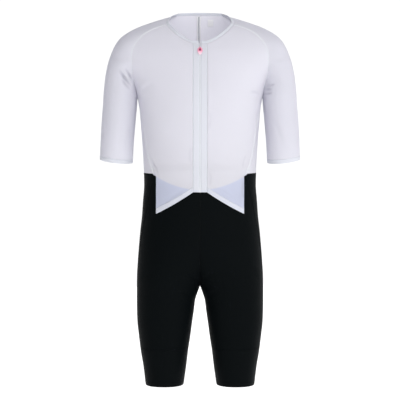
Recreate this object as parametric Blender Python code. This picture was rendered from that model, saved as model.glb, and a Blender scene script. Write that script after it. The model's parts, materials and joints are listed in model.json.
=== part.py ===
"""A roadsuit: a cycling one-piece with short raglan sleeves, in its worn shape with nobody in it.

Metres, +Z up. The wearer faces -Y, and +X is the wearer's left. The origin is where the wearer's
shoulders hold the suit, on the middle plane at the height of the sides of the neck.

Every cloth piece is a thin wall. Its outer points lie on one garment form: plan sections down the
body and the left leg, and rings through the left sleeve. The right half is the left one mirrored.
The tables and the form are in millimetres, and meshes are scaled to metres when they are made.
"""

import math

import bmesh
import bpy
import numpy as np
from mathutils import Matrix, Vector
from mathutils.kdtree import KDTree

MM = 0.001

# Cloth and sewing, in millimetres.
KNIT = 1.4  # wall of a knit panel
HEM = 1.9  # wall of a doubled hem, binding, facing or leg band
SEAM_GAP = 0.3  # between two pieces that are sewn together
SAME_PLACE = 0.01  # points nearer than this are one point of the form
HEM_RISE = 0.3  # how far doubled cloth stands proud of the panel beside it
TAPE = 1.0  # wall of the back tape and the label patch
INSIDE_GAP = 0.6  # from a panel's inner face to what is sewn on it

BINDING_HEIGHT = 7.0
BINDING_STAND = 0.35  # how much the binding turns up from the shoulder, for each unit of height
FACING_WIDTH = 17.7  # from the middle plane to the facing's outer edge
HEM_HEIGHT = 14.0  # slanted lower edge of the front
SQUARENESS = 2.25  # exponent of the plan sections: 2 is an ellipse
SHARPEST_CORNER = 0.4  # keeps a seam gap from growing at the sharp corners of a piece
SHARP_EDGE = 40.0  # degrees: edges sharper than this stay crisp

# Heights on the middle plane: the neckline under its binding, the row that ends at the underarm,
# and the row that the rows above the waist run towards.
NECK_FRONT_Z = -68.0
NECK_BACK_Z = 28.0
UNDERARM_FRONT_Z = -215.0
UNDERARM_BACK_Z = -210.0
LOW_FRONT_Z = -398.0
ROW_BEND = 1.4  # exponent of the bend of a row towards its seam
NECK_BEND = 0.4  # and what the neckline adds to it

# The front hangs free over the shorts below the waist.
FRONT_LIFT = 3.3  # how far the hanging front lies outside the shorts
LIFT_TOP = -372.0  # height where it starts to leave the form
LIFT_HEIGHT = 26.0  # and how far down it takes
PEAK_EDGE = 112.5  # the upright outer edge of a peak
PEAK_TIP_Z = -501.5
FRONT_END_Z = -447.0  # the hem beside the zip
HEM_BOW = 2.5  # how far the slanted hem bows down between its ends

# The waist edge of the shorts, a shallow U in front and level behind.
UNDERARM_Z = -198.0
WAIST_SIDE_Z = -401.0
WAIST_FRONT_Z = -441.0
BACK_WAIST_Z = -389.0

BAND_TOP_Z = -850.0
LEG_HEM_Z = -947.0
LEVEL_ROWS = 3  # rows of the shorts over which the curve of the waist edge eases out

# Zip.
CHAIN_HALF = 1.75  # half the width of the closed chain
ROW_WIDTH = 1.6  # one open row of the chain
ZIP_THICK = 2.0
SLIDER_Z = -82.0
SLIDER_LENGTH = 9.0
STOP_Z = -436.0
STOP_LENGTH = 4.0
NECK_SPREAD = 1.6  # how far each side of the zip stands off the middle line at the neck
SPREAD_Z = -60.0  # height where that is reached
STOP_PROUD = 0.3  # how far the stop stands out on each face of the chain
ROW_CLEAR = 2.0  # a strip ends on its own row only if no other row is nearer than this

# Sewn on the inside of the back.
TAPE_EDGES = (-8.5, -3.0, 2.5)  # across the tape, which lies beside the centre-back seam
TAPE_FROM_NECK = 3.0
TAPE_FROM_WAIST = 4.0
LABEL_EDGES = (21, 26, 31, 36)
LABEL_HEIGHTS = (17, 11.3, 5.7, 0)

# How finely the pieces are divided.
RAGLAN_ROWS = 10
FRONT_COLUMNS = 8
SIDE_COLUMNS = 2  # columns of the front between a peak's edge and the side seam
BACK_COLUMNS = 10
PEAK_ROWS = 4
SLEEVE_COLUMNS = 16
SHORTS_FRONT_COLUMNS = 9
SHORTS_BACK_COLUMNS = 11
BAND_ROWS = 4


def monotone(x, keys, values):
    """A smooth curve through the values at rising keys, with no bumps of its own between them."""
    step = np.diff(keys)
    slope = np.diff(values) / step
    before, after = slope[:-1], slope[1:]
    same = before * after > 0
    inner = np.where(same, 2 * before * after / np.where(same, before + after, 1), 0)
    tangent = np.concatenate([slope[:1], inner, slope[-1:]])
    x = np.clip(x, keys[0], keys[-1])
    i = np.clip(np.searchsorted(keys, x, side="right") - 1, 0, len(step) - 1)
    t = (x - keys[i]) / step[i]
    rise = values[i + 1] - values[i]
    lead = step[i] * (tangent[i] * t * (1 - t) ** 2 - tangent[i + 1] * t * t * (1 - t))
    return values[i] + rise * t * t * (3 - 2 * t) + lead


def smooth(t):
    """0 before 0, 1 after 1, and a soft step between."""
    t = np.clip(t, 0, 1)
    return t * t * (3 - 2 * t)


class Table:
    """A short table with named columns, read smoothly between its rows by its first column."""

    def __init__(self, columns, rows):
        data = np.array(sorted(rows), float)
        self.keys = data[:, 0]
        self.columns = dict(zip(columns, data.T))

    def at(self, column, key):
        return monotone(np.asarray(key, float), self.keys, self.columns[column])


# Plan sections of body and legs: height, reach at the outer side, depth in front and behind.
BODY = Table(
    ("z", "side", "front", "back"),
    (
        (36, 84, 1, 62),
        (20, 100, 2, 70),
        (0, 126, 12, 80),
        (-20, 176, 35, 89),
        (-35, 200, 49, 94),
        (-50, 213, 60, 98),
        (-68, 219, 72, 102),
        (-85, 216, 82, 106),
        (-113, 203, 94, 111),
        (-130, 192, 100, 113),
        (-150, 179.5, 106, 115),
        (-175, 169, 112, 117),
        (-198, 162.8, 116, 117.5),
        (-203, 161.6, 116.6, 117.3),
        (-210, 160.6, 117.4, 117),
        (-231, 158, 119, 115.5),
        (-262, 155.2, 119, 112),
        (-325, 150.4, 113, 103),
        (-388, 147.2, 105, 98),
        (-427, 146.2, 103, 99),
        (-466, 149.1, 104, 105),
        (-506, 151.8, 106, 113),
        (-545, 156.1, 107, 120),
        (-584, 159.7, 106, 123),
        (-624, 162.6, 102, 121),
        (-663, 164.7, 96, 114),
        (-702, 164.9, 90, 105),
        (-741, 164.7, 85, 97),
        (-781, 163.6, 80, 89),
        (-820, 159.4, 76, 82),
        (-859, 154.6, 72, 76),
        (-899, 147.9, 68, 70),
        (-947, 142, 64, 65),
    ),
)

# The leg: the height of a section, its middle, and its inner side. Above the crotch the inner side
# lies beyond the middle plane, so the section is cut there and the cut runs down to the crotch.
LEG = Table(
    ("z", "middle", "inner"),
    (
        (-480, 0, -150),
        (-545, 14, -103),
        (-584, 30, -81),
        (-624, 52, -52),
        (-650, 68, -29),
        (-668, 77, -13.6),
        (-680, 82, -4.8),
        (-690, 84, 0),
        (-702, 85, 4.5),
        (-728, 89, 13),
        (-755, 90.5, 16.4),
        (-781, 92, 20.3),
        (-820, 92.5, 25.6),
        (-859, 93, 31.4),
        (-899, 92.5, 36.2),
        (-947, 92.5, 43),
    ),
)

# The side seam: height, and its place round the section in degrees from the front.
SIDE_SEAM = Table(
    ("z", "degrees"),
    (
        (-198, 90),
        (-203, 88.5),
        (-231, 81),
        (-262, 74),
        (-293, 69),
        (-325, 67),
        (-365, 62),
        (-401, 55.5),
        (-430, 59),
        (-466, 64),
        (-545, 72),
        (-624, 78),
        (-702, 84),
        (-859, 88),
        (-947, 90),
    ),
)

# The raglan sleeve from the neck (0) to the underarm (10): the seam on the front and on the back,
# the ridge over the shoulder, and half the depth of the ring through them.
RAGLAN = Table(
    ("row", "front_x", "front_z", "back_x", "back_z", "ridge_x", "ridge_y", "ridge_z", "half_depth"),
    (
        (0, 87.6, -9, 62, 24.2, 83, 20, 13.6, 43),
        (1, 106.6, -15.5, 78, 15.5, 97.5, 18, 10.2, 48),
        (2, 129.6, -26, 96, 2, 127.7, 16, 1.0, 53),
        (3, 148.7, -40, 113, -15, 157.8, 15, -10, 60),
        (4, 163.2, -58, 128, -36, 186.6, 14, -24.9, 65),
        (5, 172, -75, 141, -60, 208.7, 13, -43, 67),
        (6, 176, -96, 151, -84, 225.5, 11, -69, 67.5),
        (7, 175.7, -123, 158, -111, 238.4, 9, -102, 67),
        (8, 171.8, -153.5, 162, -142, 246.8, 6, -140, 65),
        (9, 166.2, -179, 164, -172, 251, 3, -171.6, 62),
        (10, 162.8, -198, 162.8, -198, 253.4, 0, -198, 58),
    ),
)

# The tube of the sleeve from the underarm (10) to the cuff's lower edge: its underarm line, its
# outer line, half its depth, and how much lower it is in front for each millimetre of depth.
TUBE = Table(
    ("row", "under_x", "under_y", "under_z", "outer_x", "outer_z", "half_depth", "drop"),
    (
        (10, 162.8, 0, -198, 253.4, -198, 58, 0),
        (10.25, 164.4, 0, -202.5, 253.5, -202, 57.8, 0.005),
        (11, 165.2, 0, -217.5, 253.9, -215, 57, 0.02),
        (12, 167.7, 0, -243.7, 256, -240, 55.5, 0.04),
        (13, 170.3, -1, -275, 258, -270, 53.5, 0.07),
        (14, 172.9, -2, -306.5, 259.6, -300, 51.5, 0.1),
        (15, 174.5, -3, -335.4, 260.6, -327, 50, 0.13),
        (16, 175.6, -4, -359, 261.6, -349, 49, 0.15),
        (17, 176, -4, -369, 262, -359, 49, 0.16),
    ),
)
OVAL_ROW = 6  # the arcs are ovals from here down
UNDERARM_ROW = 10
CUFF_ROW = 16
SLEEVE_ROWS = (*range(UNDERARM_ROW + 1), 10.25, *range(11, CUFF_ROW + 1))
CUFF_ROWS = (CUFF_ROW, CUFF_ROW + 1)

# The rows of the body below the underarm, down to the waist: height at the side seam.
SIDE_ROWS = (-203, -222, -247, -272, -297, -322, -347, -372)

# The rows of the shorts: height at the middle or inner seam in front and behind, and at the side.
SHORTS_ROWS = (
    (WAIST_FRONT_Z, BACK_WAIST_Z, WAIST_SIDE_Z),
    (-470, -430, -425),
    (-505, -470, -462),
    (-545, -512, -505),
    (-584, -555, -550),
    (-620, -600, -595),
    (-648, -638, -632),
    (-668, -664, -660),
    (-681, -680, -680),
    (-690, -690, -697),
    (-700, -700, -712),
    (-718, -718, -733),
    (-745, -745, -758),
    (-780, -780, -790),
    (-815, -815, -820),
    (BAND_TOP_Z, BAND_TOP_Z, BAND_TOP_Z),
)


def section(z, angle):
    """The form at a height: angle 0 is the front, 90 degrees the outer side, 180 the back."""
    s, c = np.sin(angle), np.cos(angle)
    middle = LEG.at("middle", z)
    half = np.where(s >= 0, BODY.at("side", z) - middle, middle - LEG.at("inner", z))
    depth = np.where(c >= 0, -BODY.at("front", z), BODY.at("back", z))
    y = depth * (1 - np.abs(s) ** SQUARENESS) ** (1 / SQUARENESS)
    return np.stack([middle + half * s, y, z + 0 * y], axis=-1)


def cut_angle(z):
    """How far past the front or back the section runs before it meets the middle plane."""
    middle = LEG.at("middle", z)
    return np.arcsin(np.clip(middle / (middle - LEG.at("inner", z)), 0, 1))


def side_angle(z):
    return np.radians(SIDE_SEAM.at("degrees", z))


def lift(x, z):
    """How far the hanging front stands off the form."""
    inner = 1 - smooth((np.abs(x) - PEAK_EDGE) / (seam_x(WAIST_SIDE_Z) - PEAK_EDGE))
    return FRONT_LIFT * smooth((LIFT_TOP - z) / LIFT_HEIGHT) * inner


def seam_x(z):
    return BODY.at("side", z) * np.sin(side_angle(z))


def front_at(x, z):
    """The front of the form, lifted where it hangs free."""
    x, z = np.broadcast_arrays(np.asarray(x, float), np.asarray(z, float))
    ratio = np.clip(np.abs(x) / BODY.at("side", z), 0, 1)
    point = section(z, np.arcsin(ratio))
    point[..., 0] = x
    point[..., 1] -= lift(x, z)
    return point


def back_at(x, z):
    """The back of the form above the legs."""
    x, z = np.broadcast_arrays(np.asarray(x, float), np.asarray(z, float))
    ratio = np.clip(np.abs(x) / BODY.at("side", z), 0, 1)
    point = section(z, math.pi - np.arcsin(ratio))
    point[..., 0] = x
    return point


def body_row(z_middle, z_seam, turn, share, upper):
    """Places across a body panel: x, z and the turn round the section, from the middle plane.

    share runs from 0 at the middle to 1 at the seam, and upper from 1 at the neck to 0 at the
    underarm. The rows bend up to the seam, most of all at the neckline.
    """
    z = z_middle + (z_seam - z_middle) * share ** (ROW_BEND + NECK_BEND * upper)
    reach = upper * BODY.at("side", z_seam) + (1 - upper) * BODY.at("side", z)
    return reach * np.sin(turn * share), z, turn * share


def raglan_row(row):
    """Heights and x of the raglan seam, in front and behind, at a row of its table."""
    return [RAGLAN.at(c, row) for c in ("front_x", "front_z", "back_x", "back_z")]


def upper_rows(front):
    """The rows of a body panel above the underarm: middle height, seam height, turn, upper."""
    rows = []
    top = NECK_FRONT_Z if front else NECK_BACK_Z
    low = UNDERARM_FRONT_Z if front else UNDERARM_BACK_Z
    for row in np.linspace(0, UNDERARM_ROW, RAGLAN_ROWS + 1):
        front_x, front_z, back_x, back_z = raglan_row(row)
        x, z = (front_x, front_z) if front else (back_x, back_z)
        down = row / UNDERARM_ROW
        turn = math.asin(min(1.0, x / float(BODY.at("side", z))))
        rows.append((top + (low - top) * down, float(z), turn, 1 - smooth(down)))
    return rows


def lower_rows(front):
    """The rows below the underarm, down to the last one above the waist."""
    rows = []
    low = UNDERARM_FRONT_Z if front else UNDERARM_BACK_Z
    end = LOW_FRONT_Z if front else BACK_WAIST_Z
    for z in SIDE_ROWS:
        middle = low + (end - low) * (z - UNDERARM_Z) / (WAIST_SIDE_Z - UNDERARM_Z)
        turn = side_angle(z) if front else math.pi - side_angle(z)
        rows.append((middle, z, float(turn), 0.0))
    return rows


def waist_edge(x):
    """Height of the shorts' waist edge in front."""
    return WAIST_FRONT_Z + (WAIST_SIDE_Z - WAIST_FRONT_Z) * (x / seam_x(WAIST_SIDE_Z)) ** 2


def hem_edge(x):
    """Height of the slanted lower edge of the front."""
    t = (x - FACING_WIDTH) / (PEAK_EDGE - FACING_WIDTH)
    return FRONT_END_Z + (PEAK_TIP_Z - FRONT_END_Z) * t - 4 * HEM_BOW * t * (1 - t)


def front_shares(first):
    """Places across the front, with one column exactly on the upright edge of the peak."""
    side = float(BODY.at("side", WAIST_SIDE_Z))
    peak = math.asin(PEAK_EDGE / side) / float(side_angle(WAIST_SIDE_Z))
    inner = np.linspace(first, peak, FRONT_COLUMNS - SIDE_COLUMNS + 1)
    return np.concatenate([inner, np.linspace(peak, 1, SIDE_COLUMNS + 1)[1:]])


def front_grid():
    """Left front: points by row and column, and which cells there are."""
    rows = []
    for z_middle, z_seam, turn, upper in upper_rows(True) + lower_rows(True):
        reach = upper * BODY.at("side", z_seam) + (1 - upper) * BODY.at("side", z_middle)
        share = front_shares(math.asin(FACING_WIDTH / float(reach)) / turn)
        x, z, _ = body_row(z_middle, z_seam, turn, share, upper)
        x[0] = FACING_WIDTH
        rows.append(front_at(x, z))
    side = float(BODY.at("side", WAIST_SIDE_Z))
    turn = float(side_angle(WAIST_SIDE_Z))
    share = front_shares(math.asin(FACING_WIDTH / side) / turn)
    x = side * np.sin(turn * share)
    x[0] = FACING_WIDTH
    x[-1] = seam_x(WAIST_SIDE_Z)
    peak = FRONT_COLUMNS - SIDE_COLUMNS
    z = np.maximum(waist_edge(x), waist_edge(x[peak])) + SEAM_GAP / 2
    z[-1] = WAIST_SIDE_Z
    rows.append(front_at(x, z))
    waist = len(rows) - 1
    for t in np.linspace(0, 1, PEAK_ROWS + 1)[1:]:
        fall = z + (hem_edge(x) + HEM_HEIGHT - z) * t
        rows.append(front_at(x, np.where(x > PEAK_EDGE + 1, z, fall)))
    cells = np.ones((len(rows) - 1, FRONT_COLUMNS), bool)
    cells[waist:, peak:] = False
    return np.array(rows), cells


def hem_grid(front):
    """The hem band under the last row of the front, from the facing to the peak's tip."""
    top = front[-1, : FRONT_COLUMNS - SIDE_COLUMNS + 1]
    x = top[:, 0]
    return np.array([front_at(x, top[:, 2] + (hem_edge(x) - top[:, 2]) * t) for t in (0, 0.5, 1)])


def zip_edge(z):
    """Distance of the facing's inner edge from the middle plane."""
    open_share = smooth((z - SLIDER_Z) / (SPREAD_Z - SLIDER_Z))
    return CHAIN_HALF + SEAM_GAP + NECK_SPREAD * open_share


def facing_grid(front, hem):
    """The zip facing: the same rows as the front and its hem, from the zip to the front's edge."""
    z = np.concatenate([front[:, 0, 2], hem[1:, 0, 2]])
    inner = zip_edge(z)
    middle = (inner + FACING_WIDTH) / 2
    return np.stack([front_at(x, z) for x in (inner, middle, FACING_WIDTH + 0 * z)], axis=1)


def back_grid():
    """Left back, from the centre-back seam round the side to the side seam."""
    share = np.linspace(0, 1, BACK_COLUMNS + 1)
    rows = []
    turn = math.pi - float(side_angle(WAIST_SIDE_Z))
    end = (BACK_WAIST_Z, WAIST_SIDE_Z, turn, 0.0)
    for z_middle, z_seam, turn, upper in upper_rows(False) + lower_rows(False) + [end]:
        x, z, turned = body_row(z_middle, z_seam, turn, share, upper)
        ratio = np.arcsin(np.clip(x / BODY.at("side", z), 0, 1))
        angle = np.where(turned > math.pi / 2, ratio, math.pi - ratio)
        rows.append(section(z, angle))
    return np.array(rows)


def ring(front, back, ridge, half_depth, drop, flatness, share):
    """An oval arc from a point on the front seam, over the ridge, to a point on the back seam.

    Where the two seam points meet, the arc closes to a whole oval. A flatness of 1 gives an oval,
    and 2 a low arch that leaves its ends at a slant.
    """
    middle = (front + back) / 2
    chord = front - back
    width = np.linalg.norm(chord) / 2
    across = np.array([0.0, -1.0, -drop]) if width < 0.5 else chord
    across = across / np.linalg.norm(across)
    outward = ridge - middle
    height = np.linalg.norm(outward)
    outward = outward / height
    half_depth = width if flatness > 1 else max(half_depth, width)
    sunk = math.sqrt(1 - (width / half_depth) ** 2)
    centre = middle + outward * height * sunk / (1 + sunk)
    rise = height / (1 + sunk)
    start = math.asin(sunk)
    share = np.asarray(share)[:, None]
    even_turn = -start + (math.pi + 2 * start) * share
    even_reach = np.arccos(1 - 2 * share)
    angle = even_turn + (even_reach - even_turn) * (flatness - 1)
    height = np.sign(np.sin(angle)) * np.abs(np.sin(angle)) ** flatness
    return centre + half_depth * np.cos(angle) * across + rise * height * outward


def sleeve_row(row, share):
    """One ring of the sleeve: part of the raglan above the underarm, or whole on the tube."""
    if row < UNDERARM_ROW:
        front_x, front_z, back_x, back_z = raglan_row(row)
        ridge = np.array([RAGLAN.at(c, row) for c in ("ridge_x", "ridge_y", "ridge_z")])
        depth = float(RAGLAN.at("half_depth", row))
        front, back = front_at(front_x, front_z), back_at(back_x, back_z)
        return ring(front, back, ridge, depth, 0, 2 - smooth(row / OVAL_ROW), share)
    x, y, z, outer_x, outer_z, depth, drop = [float(TUBE.at(c, row)) for c in list(TUBE.columns)[1:]]
    under = np.array([x, y, z])
    return ring(under, under, np.array([outer_x, y, outer_z]), depth, drop, 1, share)


def sleeve_grid(rows):
    share = np.linspace(0, 1, SLEEVE_COLUMNS + 1)
    return np.array([sleeve_row(row, share) for row in rows])


def shorts_grid(back):
    """Left shorts front or back, from the middle seam and inseam to the side seam."""
    share = np.linspace(0, 1, (SHORTS_BACK_COLUMNS if back else SHORTS_FRONT_COLUMNS) + 1)
    rows = []
    for number, (z_front, z_back, z_side) in enumerate(SHORTS_ROWS):
        settled = smooth(number / LEVEL_ROWS)
        turn = float(side_angle(z_side))
        if back:
            z = z_back + (z_side - z_back) * share
            start = math.pi + cut_angle(z)
        else:
            bowed = (np.sin(turn * share) / math.sin(turn)) ** 2
            climb = bowed + (share - bowed) * settled
            z = z_front + (z_side - z_front) * climb
            start = -cut_angle(z)
        angle = start + (side_angle(z) - start) * share
        if back and number == 0:
            angle = math.pi + (side_angle(z_side) - math.pi) * share
        rows.append(section(z, angle))
    return np.array(rows)


def band_grid():
    """Left leg band: rings that start and end on the inseam."""
    front = np.linspace(0, 1, SHORTS_FRONT_COLUMNS + 1)
    back = np.linspace(0, 1, SHORTS_BACK_COLUMNS + 1)
    rows = []
    for z in np.linspace(BAND_TOP_Z, LEG_HEM_Z, BAND_ROWS + 1):
        inner, outer = math.pi / 2, float(side_angle(z))
        ahead = -inner + (outer + inner) * front
        behind = math.pi + inner + (outer - math.pi - inner) * back
        angle = np.concatenate([ahead, behind[::-1][1:]])
        rows.append(section(np.full(len(angle), z), angle))
    return np.array(rows)


def neck_loop(front, facing, sleeve, back):
    """The lower edge of the binding on the left half, and the way up along the cloth from it."""
    edges, ways = [], []
    for grid in (facing[:, :-1], front, sleeve[:, 1:-1], back[:, ::-1]):
        edges.append(grid[0])
        ways.append(grid[0] - grid[1])
    edge, way = np.concatenate(edges), np.concatenate(ways)
    along = np.gradient(edge, axis=0)
    along /= np.linalg.norm(along, axis=1)[:, None]
    way -= along * (way * along).sum(axis=1)[:, None]
    way /= np.linalg.norm(way, axis=1)[:, None]
    way[:, 2] += BINDING_STAND
    for _ in range(4):
        padded = np.concatenate([way[:1], way, way[-1:] * (-1, 1, 1)])
        way = (padded[:-2] + 2 * padded[1:-1] + padded[2:]) / 4
    return edge, way / np.linalg.norm(way, axis=1)[:, None]


def mirrored(points):
    return points * (-1, 1, 1)


def body_core(points):
    """Places inside the body that its cloth faces away from; the two below do it for leg and sleeve."""
    return points * (0.4, 0, 1)


def leg_core(points):
    side = np.sign(points[:, :1])
    return np.concatenate([side * LEG.at("middle", points[:, 2:]), 0 * side, points[:, 2:]], axis=1)


def sleeve_core(points):
    side = np.sign(points[:, :1])
    return np.concatenate([side * 200, 5 + 0 * side, np.minimum(points[:, 2:], -60)], axis=1)


class Cloth:
    """A sheet of cells on the form, which becomes a closed wall of the given thickness."""

    def __init__(self, name, grid, thick, out, cells=None, core=body_core):
        self.name, self.thick, self.out = name, thick, out
        rows, columns = grid.shape[:2]
        flat = grid.reshape(-1, 3)
        kept, index = np.unique(first_alike(flat), return_inverse=True)
        self.points = flat[kept]
        index = index.reshape(rows, columns)
        self.faces = []
        for i in range(rows - 1):
            for j in range(columns - 1):
                if cells is None or cells[i, j]:
                    self.faces.append([index[i, j], index[i + 1, j], index[i + 1, j + 1], index[i, j + 1]])
        self.faces = np.array(self.faces)
        middle = self.points[self.faces].mean(axis=1)
        core = core(middle)
        if (self.face_normals() * (middle - core)).sum() < 0:
            self.faces = self.faces[:, ::-1]

    def face_normals(self):
        a, b, c, d = (self.points[self.faces[:, k]] for k in range(4))
        return np.cross(c - a, d - b)

    def corner_normals(self, k):
        """Outward directions at one corner of each cell, as long as that corner's angle."""
        here, ahead, behind = (self.points[self.faces[:, (k + step) % 4]] for step in (0, 1, 3))
        cross = np.cross(ahead - here, behind - here)
        size = np.linalg.norm(cross, axis=1)
        angle = np.arctan2(size, ((ahead - here) * (behind - here)).sum(axis=1))
        return cross * (angle / size)[:, None]

    def edges(self):
        """The open edges: start, end and the face beside each."""
        count = {}
        for number, face in enumerate(self.faces):
            for a, b in zip(face, np.roll(face, -1)):
                count.setdefault(frozenset((a, b)), []).append((a, b, number))
        return [found[0] for found in count.values() if len(found) == 1]

    def drawn_in(self):
        """Points moved in from the open edges by half a seam gap."""
        centres = self.points[self.faces].mean(axis=1)
        ways = {}
        for a, b, number in self.edges():
            along = self.points[b] - self.points[a]
            along /= np.linalg.norm(along)
            way = centres[number] - self.points[a]
            way -= along * (way @ along)
            way /= np.linalg.norm(way)
            ways.setdefault(a, []).append(way)
            ways.setdefault(b, []).append(way)
        points = self.points.copy()
        for vertex, found in ways.items():
            total = sum(found) / len(found)
            points[vertex] += total / max(total @ total, SHARPEST_CORNER) * SEAM_GAP / 2
        return points

    def wall(self, normals):
        points = self.drawn_in()
        outer = points + normals * self.out
        inner = outer - normals * self.thick
        count = len(points)
        faces = []
        for a, b, c, d in self.faces:
            # Both skins are cut along the same diagonal, so that the wall keeps its thickness.
            if np.linalg.norm(points[a] - points[c]) < np.linalg.norm(points[b] - points[d]):
                halves = ((a, b, c), (a, c, d))
            else:
                halves = ((a, b, d), (b, c, d))
            faces += [list(half) for half in halves]
            faces += [[v + count for v in half[::-1]] for half in halves]
        for a, b, _ in self.edges():
            # The rim is cut along the same diagonal as the rim of the piece sewn on there.
            if tuple(self.points[a][::-1].round(1)) < tuple(self.points[b][::-1].round(1)):
                faces += [[b, a, b + count], [a, a + count, b + count]]
            else:
                faces += [[b, a, a + count], [b, a + count, b + count]]
        return np.concatenate([outer, inner]), faces


def first_alike(points):
    """For each point, the number of the first point that lies at the same place."""
    tree = KDTree(len(points))
    for number, point in enumerate(points):
        tree.insert(point, number)
    tree.balance()
    return np.array([min(n for _, n, _ in tree.find_range(p, SAME_PLACE)) for p in points])


def shared_normals(cloths):
    """One outward direction at each point, the same for all the pieces that meet there."""
    alike = first_alike(np.concatenate([cloth.points for cloth in cloths]))
    total = np.zeros((len(alike), 3))
    start = 0
    for cloth in cloths:
        place = alike[start : start + len(cloth.points)]
        for k in range(4):
            np.add.at(total, place[cloth.faces[:, k]], cloth.corner_normals(k))
        start += len(cloth.points)
    total = total[alike]
    total /= np.linalg.norm(total, axis=1)[:, None]
    ends = np.cumsum([len(cloth.points) for cloth in cloths])
    return np.split(total, ends[:-1])


def material(name, colour, roughness, metallic=0.0):
    made = bpy.data.materials.new(name)
    made.use_nodes = True
    shader = made.node_tree.nodes["Principled BSDF"]
    shader.inputs["Base Color"].default_value = (*colour, 1)
    shader.inputs["Roughness"].default_value = roughness
    shader.inputs["Metallic"].default_value = metallic
    made.diffuse_color = (*colour, 1)
    return made


def add_object(name, points, faces, finish, round_off=True):
    mesh = bpy.data.meshes.new(name)
    mesh.from_pydata([tuple(p) for p in points], [], [tuple(int(v) for v in f) for f in faces])
    mesh.materials.append(finish)
    if round_off:
        mesh.shade_smooth()
        mesh.set_sharp_from_angle(angle=math.radians(SHARP_EDGE))
    made = bpy.data.objects.new(name, mesh)
    bpy.context.scene.collection.objects.link(made)
    return made


def box_mesh(low, high):
    """Points and faces of a box between two corners."""
    corners = [(x, y, z) for x in (low[0], high[0]) for y in (low[1], high[1]) for z in (low[2], high[2])]
    faces = [(0, 1, 3, 2), (4, 6, 7, 5), (0, 4, 5, 1), (2, 3, 7, 6), (0, 2, 6, 4), (1, 5, 7, 3)]
    return corners, faces


def prism(outline, low, high):
    """A flat outline (y, z), counter-clockwise seen from +X, drawn out along X."""
    count = len(outline)
    points = [(low, y, z) for y, z in outline] + [(high, y, z) for y, z in outline]
    faces = [tuple(reversed(range(count))), tuple(range(count, 2 * count))]
    faces += [(i, (i + 1) % count, (i + 1) % count + count, i + count) for i in range(count)]
    return points, faces


def zip_frame():
    """Where the slider sits: its place on the front, and its axes across, out and down."""
    here, below = front_at(0, SLIDER_Z), front_at(0, SLIDER_Z - 1)
    down = Vector(below - here).normalized()
    across = Vector((1, 0, 0))
    out = down.cross(across).normalized()
    if out.y > 0:
        out = -out
    return Vector(here), across, out, down


def frame_matrix(here, across, out, down):
    """From local axes (X across, -Y out, -Z down) in millimetres to the part's, in metres."""
    turn = Matrix((across, -out, -down)).transposed().to_4x4()
    return Matrix.Translation(here * MM) @ turn


def union(target, others):
    """Joins closed shapes to the first one."""
    for other in others:
        join = target.modifiers.new("Join", "BOOLEAN")
        join.operation = "UNION"
        join.solver = "EXACT"
        join.object = other
        other.hide_render = True
        other.display_type = "WIRE"


def metres(points):
    return [tuple(c * MM for c in p) for p in points]


# The slider stands in the zip like an H: a plate in front, a plate behind, and a neck between them
# through the gap of the zip. A bridge on the front plate carries the pull tab.
PLATE_HALF = 3.6
PLATE_THICK = 1.3
NECK_HALF = 1.6
CLOTH_OUT = HEM_RISE
RUNNING_GAP = 0.35
BRIDGE_HALF = 1.0
BRIDGE_BAR = 1.0
WINDOW_HALF_LENGTH = 2.1
WINDOW_DEPTH = 2.3
NOSE_LENGTH = 1.2  # the plate's tapered upper end
OVERLAP = 0.4  # how far joined shapes reach into each other
BRIDGE_CORNER = (0.4, 0.6)

# The pull tab: a cross bar through the bridge, two arms, and a tapered grip.
BAR_THICK = 1.3
ARM_WIDTH = 3.2
ARM_GAP = 1.9
ARM_LENGTH = 6.6
GRIP_TOP_HALF = 5.6
GRIP_END_HALF = 2.4
GRIP_LENGTH = 12.4
GRIP_SHOULDER = 3.0
GRIP_STRAIGHT = 2.2
GRIP_CORNER = 1.2


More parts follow.
